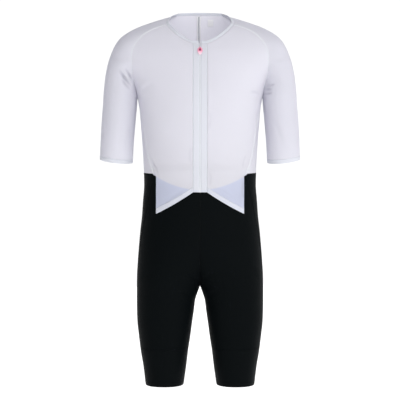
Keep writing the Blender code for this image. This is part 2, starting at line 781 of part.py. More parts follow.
def make_slider(finish):
    front_face = -(CLOTH_OUT + RUNNING_GAP)
    plate_face = front_face - PLATE_THICK
    back_face = ZIP_THICK - CLOTH_OUT + RUNNING_GAP
    half = SLIDER_LENGTH / 2
    nose = half + NOSE_LENGTH
    matrix = frame_matrix(*zip_frame())

    def piece(name, points, faces):
        made = add_object(name, metres(points), faces, finish, False)
        made.matrix_world = matrix
        return made

    plate = [
        (-PLATE_HALF, -half),
        (PLATE_HALF, -half),
        (PLATE_HALF, half * 0.6),
        (PLATE_HALF * 0.55, nose),
        (-PLATE_HALF * 0.55, nose),
        (-PLATE_HALF, half * 0.6),
    ]

    def plate_mesh(y_low, y_high):
        count = len(plate)
        points = [(x, y_low, z) for x, z in plate] + [(x, y_high, z) for x, z in plate]
        faces = [tuple(range(count)), tuple(reversed(range(count, 2 * count)))]
        faces += [(i, i + count, (i + 1) % count + count, (i + 1) % count) for i in range(count)]
        return points, faces

    body = piece("zip_slider", *plate_mesh(plate_face, front_face))
    behind = piece("cutter_plate_behind", *plate_mesh(back_face, back_face + PLATE_THICK))
    neck = piece(
        "cutter_neck",
        *box_mesh(
            (-NECK_HALF, front_face - OVERLAP, -half + 1),
            (NECK_HALF, back_face + OVERLAP, half - 1),
        ),
    )
    top = plate_face + OVERLAP
    chamfer_y, chamfer_z = BRIDGE_CORNER
    window = plate_face - WINDOW_DEPTH
    crown = window - BRIDGE_BAR
    long, short = WINDOW_HALF_LENGTH + BRIDGE_BAR, WINDOW_HALF_LENGTH
    outline = [
        (top, -long),
        (top, -short),
        (window, -short),
        (window, short),
        (top, short),
        (top, long),
        (crown + chamfer_y, long),
        (crown, long - chamfer_z),
        (crown, -long + chamfer_z),
        (crown + chamfer_y, -long),
    ]
    points, faces = prism(outline, -BRIDGE_HALF, BRIDGE_HALF)
    bridge = piece("cutter_bridge", points, faces)
    for made in (body, behind, neck, bridge):
        mesh = bmesh.new()
        mesh.from_mesh(made.data)
        bmesh.ops.recalc_face_normals(mesh, faces=mesh.faces)
        mesh.to_mesh(made.data)
        mesh.free()
    union(body, (neck, behind, bridge))
    return matrix, plate_face


def make_tab(finish, matrix, plate_face):
    """The tab hangs down the front, turned about the middle of its cross bar."""
    pivot_y = plate_face - RUNNING_GAP - BAR_THICK / 2
    inner = BRIDGE_HALF + ARM_GAP
    outer = inner + ARM_WIDTH
    bar = BAR_THICK / 2
    shoulder = -ARM_LENGTH - GRIP_SHOULDER
    straight = shoulder - GRIP_STRAIGHT
    end = -ARM_LENGTH - GRIP_LENGTH
    shape = [
        (-outer, bar),
        (outer, bar),
        (outer, -ARM_LENGTH),
        (GRIP_TOP_HALF, shoulder),
        (GRIP_TOP_HALF, straight),
        (GRIP_END_HALF, end + GRIP_CORNER),
        (GRIP_END_HALF - GRIP_CORNER, end),
        (-GRIP_END_HALF + GRIP_CORNER, end),
        (-GRIP_END_HALF, end + GRIP_CORNER),
        (-GRIP_TOP_HALF, straight),
        (-GRIP_TOP_HALF, shoulder),
        (-outer, -ARM_LENGTH),
    ]
    hole = [(-inner, -bar), (inner, -bar), (inner, -ARM_LENGTH), (-inner, -ARM_LENGTH)]
    mesh = bmesh.new()
    loops = []
    for outline in (shape, hole):
        loops.append([mesh.verts.new((x * MM, -bar * MM, z * MM)) for x, z in outline])
    edges = [mesh.edges.new((loop[i - 1], loop[i])) for loop in loops for i in range(len(loop))]
    bmesh.ops.triangle_fill(mesh, use_beauty=True, edges=edges)
    lifted = bmesh.ops.extrude_face_region(mesh, geom=mesh.faces[:])
    moved = [v for v in lifted["geom"] if isinstance(v, bmesh.types.BMVert)]
    bmesh.ops.translate(mesh, verts=moved, vec=(0, 2 * bar * MM, 0))
    bmesh.ops.recalc_face_normals(mesh, faces=mesh.faces)
    data = bpy.data.meshes.new("pull_tab")
    mesh.to_mesh(data)
    mesh.free()
    data.materials.append(finish)
    pivot = bpy.data.objects.new("pull_tab_hinge", None)
    pivot.matrix_world = matrix @ Matrix.Translation((0, pivot_y * MM, 0))
    bpy.context.scene.collection.objects.link(pivot)
    tab = bpy.data.objects.new("pull_tab", data)
    bpy.context.scene.collection.objects.link(tab)
    tab.parent = pivot


def zip_pieces(facing):
    """The closed chain, the two open rows above the slider, and the stop, as cloth-like strips."""
    half = SLIDER_LENGTH / 2
    z = facing[:, 0, 2]
    low, high = SLIDER_Z - half, SLIDER_Z + half
    chain_end = STOP_Z + STOP_LENGTH / 2 + SEAM_GAP
    between = (z < low - ROW_CLEAR) & (z > chain_end + ROW_CLEAR)
    chain_z = np.concatenate([[low], z[between], [chain_end]])
    chain = np.stack([front_at(x, chain_z) for x in (-CHAIN_HALF, CHAIN_HALF)], axis=1)
    row_z = np.concatenate([z[:1], z[(z > high + ROW_CLEAR) & (z < z[0])], [high]])
    edge = zip_edge(row_z) - SEAM_GAP
    row = np.stack([front_at(x, row_z) for x in (edge - ROW_WIDTH, edge)], axis=1)
    stop_z = np.array([STOP_Z + STOP_LENGTH / 2, STOP_Z - STOP_LENGTH / 2])
    stop = np.stack([front_at(x, stop_z) for x in (-CHAIN_HALF, CHAIN_HALF)], axis=1)
    return chain, row, stop


def inside_pieces(back):
    """The tape down the centre-back seam and the bare label patch, on the inside of the back."""
    tape_z = back[:, 0, 2].copy()
    tape_z[0] -= TAPE_FROM_NECK
    tape_z[-1] += TAPE_FROM_WAIST
    tape = np.stack([back_at(x, tape_z) for x in TAPE_EDGES], axis=1)
    label = np.stack([back_at(x, np.array(LABEL_HEIGHTS)) for x in LABEL_EDGES], axis=1)
    return tape, label


def all_cloth():
    """Every cloth-like piece with the name of its finish."""
    front, cells = front_grid()
    hem = hem_grid(front)
    facing = facing_grid(front, hem)
    back = back_grid()
    sleeve = sleeve_grid(SLEEVE_ROWS)
    cuff = sleeve_grid(CUFF_ROWS)
    band = band_grid()
    chain, row, stop = zip_pieces(facing)
    tape, label = inside_pieces(back)
    edge, way = neck_loop(front, facing, sleeve, back)
    left = np.stack([edge + way * (BINDING_HEIGHT * t) for t in (0, 0.5, 1)])
    binding = np.concatenate([left, mirrored(left)[:, ::-1][:, 1:]], axis=1)
    inside = -(KNIT + INSIDE_GAP)
    halves = (
        ("front", front, KNIT, 0.0, cells, body_core, "white_mesh"),
        ("hem_band", hem, HEM, HEM_RISE, None, body_core, "white_trim"),
        ("zip_facing", facing, HEM, HEM_RISE, None, body_core, "white_trim"),
        ("zip_row", row, ZIP_THICK, HEM_RISE, None, body_core, "zip_coil"),
        ("back", back, KNIT, 0.0, None, body_core, "white_mesh"),
        ("sleeve", sleeve, KNIT, 0.0, None, sleeve_core, "white_mesh"),
        ("cuff", cuff, HEM, HEM_RISE, None, sleeve_core, "white_trim"),
        ("shorts_front", shorts_grid(False), KNIT, 0.0, None, leg_core, "black_knit"),
        ("shorts_back", shorts_grid(True), KNIT, 0.0, None, leg_core, "black_knit"),
        ("leg_band", band, HEM, HEM_RISE, None, leg_core, "black_band"),
    )
    made = []
    for name, grid, thick, out, mask, core, finish in halves:
        made.append((Cloth(name + "_left", grid, thick, out, mask, core), finish))
        made.append((Cloth(name + "_right", mirrored(grid), thick, out, mask, core), finish))
    made.append((Cloth("neck_binding", binding, HEM, HEM_RISE), "white_trim"))
    made.append((Cloth("zip_chain", chain, ZIP_THICK, HEM_RISE), "zip_coil"))
    stop_thick = ZIP_THICK + 2 * STOP_PROUD
    made.append((Cloth("zip_stop", stop, stop_thick, HEM_RISE + STOP_PROUD), "zip_coil"))
    made.append((Cloth("back_tape", tape, TAPE, inside), "tape"))
    made.append((Cloth("neck_label", label, TAPE, inside), "label_patch"))
    return made


def clear_scene():
    for old in list(bpy.data.objects):
        bpy.data.objects.remove(old, do_unlink=True)


def main():
    clear_scene()
    finishes = {
        "white_mesh": material("white_mesh", (0.82, 0.82, 0.88), 0.75),
        "white_trim": material("white_trim", (0.88, 0.88, 0.92), 0.6),
        "black_knit": material("black_knit", (0.008, 0.009, 0.012), 0.7),
        "black_band": material("black_band", (0.007, 0.008, 0.011), 0.65),
        "zip_coil": material("zip_coil", (0.85, 0.85, 0.88), 0.45),
        "slider_metal": material("slider_metal", (0.36, 0.07, 0.15), 0.38),
        "pull_pink": material("pull_pink", (0.86, 0.36, 0.5), 0.45),
        "tape": material("tape", (0.9, 0.9, 0.93), 0.7),
        "label_patch": material("label_patch", (0.93, 0.93, 0.95), 0.6),
    }
    cloths = all_cloth()
    normals = shared_normals([cloth for cloth, _ in cloths])
    for (cloth, finish), normal in zip(cloths, normals):
        points, faces = cloth.wall(normal)
        add_object(cloth.name, points * MM, faces, finishes[finish])
    matrix, plate_face = make_slider(finishes["slider_metal"])
    make_tab(finishes["pull_pink"], matrix, plate_face)


main()
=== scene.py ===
"""A roadsuit as photographed: a sheer white zip front over black shorts, filled out with nobody in it.

Metres, +Z up, the wearer faces -Y and +X is the wearer's left. The form is worked out in millimetres
from the same short tables as the solids. Every piece is a thin closed shell on that form, much finer
than its solid, with creases, seams and stitching laid on it.
"""

import json
import math

import bmesh
import bpy
import numpy as np
from mathutils import Matrix, Vector
from mathutils.kdtree import KDTree


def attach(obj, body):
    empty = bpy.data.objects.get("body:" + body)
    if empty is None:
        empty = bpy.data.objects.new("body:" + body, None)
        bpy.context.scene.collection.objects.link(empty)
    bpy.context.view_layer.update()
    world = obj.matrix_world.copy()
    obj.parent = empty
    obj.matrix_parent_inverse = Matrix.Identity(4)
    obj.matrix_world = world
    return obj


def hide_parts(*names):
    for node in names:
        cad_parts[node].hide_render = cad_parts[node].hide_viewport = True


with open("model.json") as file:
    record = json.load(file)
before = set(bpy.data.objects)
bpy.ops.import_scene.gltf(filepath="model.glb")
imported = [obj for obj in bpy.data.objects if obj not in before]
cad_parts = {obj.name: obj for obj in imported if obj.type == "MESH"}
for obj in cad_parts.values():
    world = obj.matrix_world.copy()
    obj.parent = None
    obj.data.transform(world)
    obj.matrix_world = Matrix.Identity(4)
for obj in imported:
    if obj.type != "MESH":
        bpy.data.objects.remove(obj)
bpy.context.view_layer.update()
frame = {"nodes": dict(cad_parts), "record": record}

MM = 0.001

# Cloth and sewing, in millimetres.
HEM = 1.9  # wall of a doubled hem, binding, facing or leg band
SEAM_GAP = 0.3  # between two pieces that are sewn together
SAME_PLACE = 0.01  # points nearer than this are one point of the form
HEM_RISE = 0.3  # how far doubled cloth stands proud of the panel beside it
TAPE = 1.0  # wall of the back tape and the label patch
INSIDE_GAP = 0.6  # from a panel's inner face to what is sewn on it

BINDING_HEIGHT = 7.0
BINDING_STAND = 0.35  # how much the binding turns up from the shoulder
BINDING_ROUNDS = 4  # times that its direction is evened out along the neckline
FACING_WIDTH = 17.7  # from the middle plane to the facing's outer edge
HEM_HEIGHT = 14.0  # slanted lower edge of the front
SQUARENESS = 2.25  # exponent of the plan sections: 2 is an ellipse

# Heights on the middle plane: the neckline under its binding, the row that ends at the underarm, and
# the one that the last rows above the waist run towards.
NECK_FRONT_Z = -68.0
NECK_BACK_Z = 28.0
UNDERARM_FRONT_Z = -215.0
UNDERARM_BACK_Z = -210.0
LOW_FRONT_Z = -398.0
ROW_BEND = 1.4  # exponent of the bend of a row towards its seam
NECK_BEND = 0.4  # and what the neckline adds to it

# The front hangs free over the shorts below the waist.
FRONT_LIFT = 3.3  # how far the hanging front lies outside the shorts
LIFT_TOP = -372.0  # height where it starts to leave the form
LIFT_HEIGHT = 26.0  # and how far down it takes
PEAK_EDGE = 112.5  # the upright outer edge of a peak
PEAK_TIP_Z = -501.5
FRONT_END_Z = -447.0  # the hem beside the zip
HEM_BOW = 2.5  # how far the slanted hem bows down between its ends

# The underarm, the waist edge of the shorts, which is a shallow U in front and level behind, and the
# leg band.
UNDERARM_Z = -198.0
WAIST_SIDE_Z = -401.0
WAIST_FRONT_Z = -441.0
BACK_WAIST_Z = -389.0
BAND_TOP_Z = -850.0
LEG_HEM_Z = -947.0
LEVEL_ROWS = 3  # rows of the shorts over which the curve of the waist edge eases out

# Zip.
CHAIN_HALF = 1.75  # half the width of the closed chain
ROW_WIDTH = 1.6  # one open row of the chain
SLIDER_Z = -82.0
SLIDER_LENGTH = 9.0
SLIDER_CLEAR = 0.6  # from the slider to the first closed loop
STOP_Z = -436.0
STOP_LENGTH = 4.0
NECK_SPREAD = 1.6  # how far each side of the zip stands off the middle line at the neck
SPREAD_Z = -60.0  # height where that is reached

# Sewn on the inside of the back.
TAPE_EDGES = (-8.5, 2.5)  # across the tape, which lies beside the centre-back seam
TAPE_FROM_NECK = 3.0
TAPE_FROM_WAIST = 4.0
LABEL_EDGES = (21, 36)
LABEL_HEIGHTS = (17, 0)
TAPE_LINES, LABEL_LINES = 7, 13  # lines of points across each

# How finely the pieces are divided.
RAGLAN_ROWS = 74
LOWER_ROWS = 66  # rows of the body between the underarm and the waist
FRONT_COLUMNS = 52
SIDE_COLUMNS = 12  # columns of the front between a peak's edge and the side seam
BACK_COLUMNS = 60
PEAK_ROWS = 34
SLEEVE_COLUMNS = 120
TUBE_ROWS = 62
SHORTS_FRONT_COLUMNS = 54
SHORTS_BACK_COLUMNS = 66
SHORTS_STEPS = 9  # rows between two heights of the shorts' table
BAND_ROWS = 30
HEM_LINES = 9  # lines across a hem, facing or binding
MEETING = 0.02  # points of two pieces nearer than this are sewn together there

# Shells, rings and stitches.
PANEL_THICK = 1.0  # shell of a knit panel, from its outer face inwards
CLOSED_WIDTH = 0.5  # a ring whose ends are nearer than this to their middle is a whole oval
EASE_STEP = 0.1  # of a row, to read how the rings run on
EASE_MARGIN = 0.12  # share of a ring beside its seam over which the even run sets in
EDGE_SHARES = np.array([0.7, 0.96, 1.0])  # of the thickness: on an open edge, beside it, further in
BODY_CORE = (0.4, 0, 1)  # shares of a place on the body that give the place inside it
SLEEVE_CORE = (200, 5, -60)  # x and y of the line inside a sleeve, and its highest place
ON_HEM = HEM_RISE + 0.1  # how far stitches on doubled cloth lie off the panel beside it
HEM_PITCH = 2.6  # of the stitches along hems, facings and binding

# The zip's coil.
COIL_PITCH = 1.25
TAPE_END_Z = -447.5  # the zip's tape runs on below its stop to the hem
COIL_SUNK = 0.1  # how deep the middles of the coil loops lie under the form
LOOP_RADIUS = 0.42
LOOP_ASIDE, LOOP_REACH = 0.78, 1.9  # the loops of the closed chain: middle and length across it
CORE_SUNK = 0.5  # how deep the strips under the loops lie
# Half the width, the rise and the depth of the tape's tail, and of the core of an open row.
TAIL = (CHAIN_HALF + SEAM_GAP + 0.1, 0.5, 0.6)
ROW_CORE = (ROW_WIDTH * 0.4, 0.3, 0.5)

# The pull: its cross bar, two arms and tapered grip, about the middle of the cross bar.
BRIDGE_HALF = 1.0
BAR_THICK = 1.3
ARM_WIDTH = 3.2
ARM_GAP = 1.9
ARM_LENGTH = 6.6
GRIP_TOP_HALF = 5.6
GRIP_END_HALF = 2.4
GRIP_LENGTH = 12.4
GRIP_SHOULDER = 3.0
PULL_BEVEL = 0.28
PULL_SHARP = 0.9  # radians: edges that turn more than this are bevelled
CRISP_ANGLE = 50  # degrees: edges of the bevelled pull that turn more than this stay crisp

# In metres: the floor, and the camera, which stands level with the suit's middle, 3 m in front of it.
FLOOR_Z = -1.06
FLOOR_SIZE = 14.0
CAMERA_PLACE = (0.0, -3.0, -0.4664)
CAMERA_LENS = 103.05

# Colours, as linear shares of red, green and blue.
WHITE = (0.92, 0.915, 0.955)
WHITE_LOW = (0.89, 0.885, 0.93)
# painted shade: the sleeves' colours, a darker copy of the white mesh
SHADED_SLEEVE = (0.875, 0.872, 0.915)
SHADED_SLEEVE_LOW = (0.845, 0.842, 0.89)
CREASE_SHADE_TINT = (0.60, 0.595, 0.66)  # painted shade in the troughs of the creases
CREASE_SHADE_FULL = 2.4  # depth of a trough, in mm, that shows that painted shade in full
# share of the painted crease shade that shows at most
CREASE_SHADE_SHARE = 0.75
CREASE_SHADE_WIDEST = 4.8  # a wider trough gets no painted shade
# painted shade where the dark shorts show through the sheer front
SHOW_THROUGH_SHADE = (0.79, 0.82, 0.95)
TRIM = (0.80, 0.812, 0.865)
TRIM_LOW = (0.765, 0.78, 0.84)
# the same painted show-through shade on the doubled trim over the shorts
TRIM_SHOW_THROUGH_SHADE = (0.74, 0.76, 0.84)
SEAM = (0.93, 0.935, 0.96)
SEAM_LOW = (0.9, 0.91, 0.94)
SHEER = 0.5  # share of the light that the mesh lets through
BLACK = (0.0027, 0.0040, 0.0046)
BLACK_LOW = (0.0015, 0.0024, 0.0029)
PULL = (0.93, 0.36, 0.52)
PULL_SHADE = (0.86, 0.28, 0.44)
# Where the pull turns paler, over what length, and to what. The slider's nose is as pink as the pull
# and the rest of it is darker.
PULL_PALE = (-0.0865, 0.0075, (0.95, 0.72, 0.82))
SLIDER = (0.30, 0.045, 0.11)
SLIDER_LOW = (-0.0788, 0.0012, SLIDER)

FLOOR_PAINT = (0.95, 0.95, 0.95)
FLOOR_SHADE = (0.93575, 0.93575, 0.9405)
FLOOR_GLOW = 0.45
# The light of the room, and how it changes to the wearer's left, to both sides, and up.
WORLD_LIGHT = 1.07
SIDE_LIGHT, SIDES_LIGHT, TOP_LIGHT = 0.37, -0.52, -0.45
LIGHTS = (
    # name, place, aimed at, size, watts
    ("key", (2.2, -4.2, 0.2), (0, 0, -0.45), 3.0, 70),
    ("fill", (-1.0, 4.4, 0.5), (0, 0, -0.45), 3.0, 34),
)


def monotone(x, keys, values):
    """A smooth curve through the values at rising keys, with no bumps of its own between them."""
    step = np.diff(keys)
    slope = np.diff(values) / step
    before, after = slope[:-1], slope[1:]
    same = before * after > 0
    inner = np.where(same, 2 * before * after / np.where(same, before + after, 1), 0)
    tangent = np.concatenate([slope[:1], inner, slope[-1:]])
    x = np.clip(x, keys[0], keys[-1])
    i = np.clip(np.searchsorted(keys, x, side="right") - 1, 0, len(step) - 1)
    t = (x - keys[i]) / step[i]
    rise = values[i + 1] - values[i]
    lead = step[i] * (tangent[i] * t * (1 - t) ** 2 - tangent[i + 1] * t * t * (1 - t))
    return values[i] + rise * t * t * (3 - 2 * t) + lead


def smooth(t):
    """0 before 0, 1 after 1, and a soft step between."""
    t = np.clip(t, 0, 1)
    return t * t * (3 - 2 * t)


def run_length(line):
    """How far along a line each of its points is."""
    return np.concatenate([[0], np.cumsum(np.linalg.norm(np.diff(line, axis=0), axis=1))])


def columns_at(at, keys, points, between=np.interp):
    """Three columns of data at some places between their keys."""
    return np.stack([between(at, keys, points[:, k]) for k in range(3)], axis=1)


class Table:
    """A short table under a line of names, read smoothly between its rows by its first column."""

    def __init__(self, text):
        names, *rows = [line.split() for line in text.strip().splitlines()]
        data = np.array(sorted([float(cell) for cell in row] for row in rows))
        self.keys = data[:, 0]
        self.columns = dict(zip(names, data.T))

    def at(self, column, key):
        return monotone(np.asarray(key, float), self.keys, self.columns[column])


# Plan sections of body and legs: height, reach at the outer side, depth in front and behind.
BODY = Table("""
z side front back
36 84 1 62
20 100 2 70
0 126 12 80
-20 176 35 89
-35 200 49 94
-50 213 60 98
-68 219 72 102
-85 216 82 106
-113 203 94 111
-130 192 100 113
-150 179.5 106 115
-175 169 112 117
-198 162.8 116 117.5
-203 161.6 116.6 117.3
-210 160.6 117.4 117
-231 158 119 115.5
-262 155.2 119 112
-325 150.4 113 103
-388 147.2 105 98
-427 146.2 103 99
-466 149.1 104 105
-506 151.8 106 113
-545 156.1 107 120
-584 159.7 106 123
-624 162.6 102 121
-663 164.7 96 114
-702 164.9 90 105
-741 164.7 85 97
-781 163.6 80 89
-820 159.4 76 82
-859 154.6 72 76
-899 147.9 68 70
-947 142 64 65
""")

# The leg: the height of a section, its middle, and its inner side. Above the crotch the inner side
# lies beyond the middle plane, so the section is cut there and the cut runs down to the crotch.
LEG = Table("""
z middle inner
-480 0 -150
-545 14 -103
-584 30 -81
-624 52 -52
-650 68 -29
-668 77 -13.6
-680 82 -4.8
-690 84 0
-702 85 4.5
-728 89 13
-755 90.5 16.4
-781 92 20.3
-820 92.5 25.6
-859 93 31.4
-899 92.5 36.2
-947 92.5 43
""")

# The side seam: height, and its place round the section in degrees from the front.
SIDE_SEAM = Table("""
z degrees
-198 90
-203 88.5
-231 81
-262 74
-293 69
-325 67
-365 62
-401 55.5
-430 59
-466 64
-545 72
-624 78
-702 84
-859 88
-947 90
""")

# The raglan sleeve from the neck (0) to the underarm (10): the seam on the front and on the back,
# the ridge over the shoulder, and half the depth of the ring through them.
RAGLAN = Table("""
row front_x front_z back_x back_z ridge_x ridge_y ridge_z half_depth
0 87.6 -9 62 24.2 83 20 13.6 43
1 106.6 -15.5 78 15.5 97.5 18 10.2 48
2 129.6 -26 96 2 127.7 16 1.0 53
3 148.7 -40 113 -15 157.8 15 -10 60
4 163.2 -58 128 -36 186.6 14 -24.9 65
5 172 -75 141 -60 208.7 13 -43 67
6 176 -96 151 -84 225.5 11 -69 67.5
7 175.7 -123 158 -111 238.4 9 -102 67
8 171.8 -153.5 162 -142 246.8 6 -140 65
9 166.2 -179 164 -172 251 3 -171.6 62
10 162.8 -198 162.8 -198 253.4 0 -198 58
""")

# The tube of the sleeve from the underarm (10) to the cuff's lower edge: its underarm line, its
# outer line, half its depth, and how much lower it is in front for each millimetre of depth.
TUBE = Table("""
row under_x under_y under_z outer_x outer_z half_depth drop
10 162.8 0 -198 253.4 -198 58 0
10.25 164.4 0 -202.5 253.5 -202 57.8 0.005
11 165.2 0 -217.5 253.9 -215 57 0.02
12 167.7 0 -243.7 256 -240 55.5 0.04
13 170.3 -1 -275 258 -270 53.5 0.07
14 172.9 -2 -306.5 259.6 -300 51.5 0.1
15 174.5 -3 -335.4 260.6 -327 50 0.13
16 175.6 -4 -359 261.6 -349 49 0.15
17 176 -4 -369 262 -359 49 0.16
""")
OVAL_ROW = 6  # the arcs are ovals from here down
DEEPENING = 0.074  # flatness under which an arc starts to reach past its ends
UNDERARM_ROW = 10
EASE_ROWS = (9.0, 11.0)  # between these the rings run on evenly
CUFF_ROW = 16
SLEEVE_ROWS = np.concatenate(
    [
        np.linspace(0, UNDERARM_ROW, RAGLAN_ROWS + 1),
        np.linspace(UNDERARM_ROW, CUFF_ROW, TUBE_ROWS + 1)[1:],
    ]
)
CUFF_ROWS = np.linspace(CUFF_ROW, CUFF_ROW + 1, HEM_LINES)

# The rows of the body below the underarm, down to the waist: height at the side seam.
SIDE_ROWS = np.linspace(UNDERARM_Z, WAIST_SIDE_Z, LOWER_ROWS + 2)[1:-1]

# The rows of the shorts: height at the middle or inner seam in front and behind, and at the side.
SHORTS_ROWS = np.array([
    (WAIST_FRONT_Z, BACK_WAIST_Z, WAIST_SIDE_Z), (-470, -430, -425), (-505, -470, -462),
    (-545, -512, -505), (-584, -555, -550), (-620, -600, -595), (-648, -638, -632),
    (-668, -664, -660), (-681, -680, -680), (-690, -690, -697), (-700, -700, -712),
    (-718, -718, -733), (-745, -745, -758), (-780, -780, -790), (-815, -815, -820),
    (BAND_TOP_Z, BAND_TOP_Z, BAND_TOP_Z),
])
SHORTS_NUMBERS = np.linspace(0, len(SHORTS_ROWS) - 1, (len(SHORTS_ROWS) - 1) * SHORTS_STEPS + 1)
SHORTS_SPREAD = columns_at(SHORTS_NUMBERS, np.arange(len(SHORTS_ROWS)), SHORTS_ROWS, monotone)
FORK_Z = -690.0  # where the middle seam ends and the inner seams of the legs begin


def section(z, angle):
    """The form at a height: angle 0 is the front, 90 degrees the outer side, 180 the back."""
    s, c = np.sin(angle), np.cos(angle)
    middle = LEG.at("middle", z)
    half = np.where(s >= 0, BODY.at("side", z) - middle, middle - LEG.at("inner", z))
    depth = np.where(c >= 0, -BODY.at("front", z), BODY.at("back", z))
    y = depth * (1 - np.abs(s) ** SQUARENESS) ** (1 / SQUARENESS)
    return np.stack([middle + half * s, y, z + 0 * y], axis=-1)


def cut_angle(z):
    """How far past the front or back the section runs before it meets the middle plane."""
    middle = LEG.at("middle", z)
    return np.arcsin(np.clip(middle / (middle - LEG.at("inner", z)), 0, 1))


def side_angle(z):
    return np.radians(SIDE_SEAM.at("degrees", z))


def lift(x, z):
    """How far the hanging front stands off the form."""
    inner = 1 - smooth((np.abs(x) - PEAK_EDGE) / (seam_x(WAIST_SIDE_Z) - PEAK_EDGE))
    return FRONT_LIFT * smooth((LIFT_TOP - z) / LIFT_HEIGHT) * inner


def seam_x(z):
    return BODY.at("side", z) * np.sin(side_angle(z))


def skin_at(x, z, front):
    """The form at an x and a height, in front or behind, above the legs."""
    x, z = np.broadcast_arrays(np.asarray(x, float), np.asarray(z, float))
    turn = np.arcsin(np.clip(np.abs(x) / BODY.at("side", z), 0, 1))
    point = section(z, turn if front else math.pi - turn)
    point[..., 0] = x
    return point


def front_at(x, z):
    """The front of the form, lifted where it hangs free."""
    point = skin_at(x, z, True)
    point[..., 1] -= lift(point[..., 0], point[..., 2])
    return point


def back_at(x, z):
    return skin_at(x, z, False)


def body_row(z_middle, z_seam, turn, share, upper):
    """Places across a body panel: x, z and the turn round the section, from the middle plane.

    share runs from 0 at the middle to 1 at the seam, and upper from 1 at the neck to 0 at the
    underarm. The rows bend up to the seam, most of all at the neckline.
    """
    z = z_middle + (z_seam - z_middle) * share ** (ROW_BEND + NECK_BEND * upper)
    reach = upper * BODY.at("side", z_seam) + (1 - upper) * BODY.at("side", z)
    return reach * np.sin(turn * share), z, turn * share


def raglan_row(row):
    """Heights and x of the raglan seam, in front and behind, at a row of its table."""
    return [RAGLAN.at(c, row) for c in ("front_x", "front_z", "back_x", "back_z")]


def body_rows(front):
    """The rows of a body panel above the waist: middle height, seam height, turn at the seam, upper."""
    top, low, end = (
        (NECK_FRONT_Z, UNDERARM_FRONT_Z, LOW_FRONT_Z)
        if front
        else (NECK_BACK_Z, UNDERARM_BACK_Z, BACK_WAIST_Z)
    )
    rows = []
    for row in np.linspace(0, UNDERARM_ROW, RAGLAN_ROWS + 1):
        x, z = raglan_row(row)[:2] if front else raglan_row(row)[2:]
        down = row / UNDERARM_ROW
        turn = math.asin(min(1.0, x / float(BODY.at("side", z))))
        rows.append((top + (low - top) * down, float(z), turn, 1 - smooth(down)))
    for z in SIDE_ROWS:
        middle = low + (end - low) * (z - UNDERARM_Z) / (WAIST_SIDE_Z - UNDERARM_Z)
        turn = side_angle(z) if front else math.pi - side_angle(z)
        rows.append((middle, z, float(turn), 0.0))
    return rows


def waist_edge(x):
    """Height of the shorts' waist edge in front."""
    return WAIST_FRONT_Z + (WAIST_SIDE_Z - WAIST_FRONT_Z) * (x / seam_x(WAIST_SIDE_Z)) ** 2


def hem_edge(x):
    """Height of the slanted lower edge of the front."""
    t = (x - FACING_WIDTH) / (PEAK_EDGE - FACING_WIDTH)
    return FRONT_END_Z + (PEAK_TIP_Z - FRONT_END_Z) * t - 4 * HEM_BOW * t * (1 - t)


def front_shares(first):
    """Places across the front, with one column exactly on the upright edge of the peak."""
    side = float(BODY.at("side", WAIST_SIDE_Z))
    peak = math.asin(PEAK_EDGE / side) / float(side_angle(WAIST_SIDE_Z))
    inner = np.linspace(first, peak, FRONT_COLUMNS - SIDE_COLUMNS + 1)
    return np.concatenate([inner, np.linspace(peak, 1, SIDE_COLUMNS + 1)[1:]])


def front_grid():
    """Left front: points by row and column, and which cells there are."""
    rows = []
    for z_middle, z_seam, turn, upper in body_rows(True):
        reach = upper * BODY.at("side", z_seam) + (1 - upper) * BODY.at("side", z_middle)
        share = front_shares(math.asin(FACING_WIDTH / float(reach)) / turn)
        x, z, _ = body_row(z_middle, z_seam, turn, share, upper)
        x[0] = FACING_WIDTH
        rows.append(front_at(x, z))
    side = float(BODY.at("side", WAIST_SIDE_Z))
    turn = float(side_angle(WAIST_SIDE_Z))
    share = front_shares(math.asin(FACING_WIDTH / side) / turn)
    x = side * np.sin(turn * share)
    x[0] = FACING_WIDTH
    x[-1] = seam_x(WAIST_SIDE_Z)
    peak = FRONT_COLUMNS - SIDE_COLUMNS
    z = np.maximum(waist_edge(x), waist_edge(x[peak])) + SEAM_GAP / 2
    z[-1] = WAIST_SIDE_Z
    rows.append(front_at(x, z))
    waist = len(rows) - 1
    for t in np.linspace(0, 1, PEAK_ROWS + 1)[1:]:
        fall = z + (hem_edge(x) + HEM_HEIGHT - z) * t
        rows.append(front_at(x, np.where(x > PEAK_EDGE + 1, z, fall)))
    cells = np.ones((len(rows) - 1, FRONT_COLUMNS), bool)
    cells[waist:, peak:] = False
    return np.array(rows), cells


def hem_grid(front):
    """The hem band under the last row of the front, from the facing to the peak's tip."""
    top = front[-1, : FRONT_COLUMNS - SIDE_COLUMNS + 1]
    x = top[:, 0]
    steps = np.linspace(0, 1, HEM_LINES)
    return np.array([front_at(x, top[:, 2] + (hem_edge(x) - top[:, 2]) * t) for t in steps])


def zip_edge(z):
    """Distance of the facing's inner edge from the middle plane."""
    open_share = smooth((z - SLIDER_Z) / (SPREAD_Z - SLIDER_Z))
    return CHAIN_HALF + SEAM_GAP + NECK_SPREAD * open_share


def facing_grid(front, hem):
    """The zip facing: the same rows as the front and its hem, from the zip to the front's edge."""
    z = np.concatenate([front[:, 0, 2], hem[1:, 0, 2]])
    inner = zip_edge(z)
    shares = np.linspace(0, 1, HEM_LINES)
    return np.stack([front_at(inner + (FACING_WIDTH - inner) * share, z) for share in shares], axis=1)


def back_grid():
    """Left back, from the centre-back seam round the side to the side seam."""
    share = np.linspace(0, 1, BACK_COLUMNS + 1)
    rows = []
    turn = math.pi - float(side_angle(WAIST_SIDE_Z))
    end = (BACK_WAIST_Z, WAIST_SIDE_Z, turn, 0.0)
    for z_middle, z_seam, turn, upper in body_rows(False) + [end]:
        x, z, turned = body_row(z_middle, z_seam, turn, share, upper)
        ratio = np.arcsin(np.clip(x / BODY.at("side", z), 0, 1))
        angle = np.where(turned > math.pi / 2, ratio, math.pi - ratio)
        rows.append(section(z, angle))
    return np.array(rows)


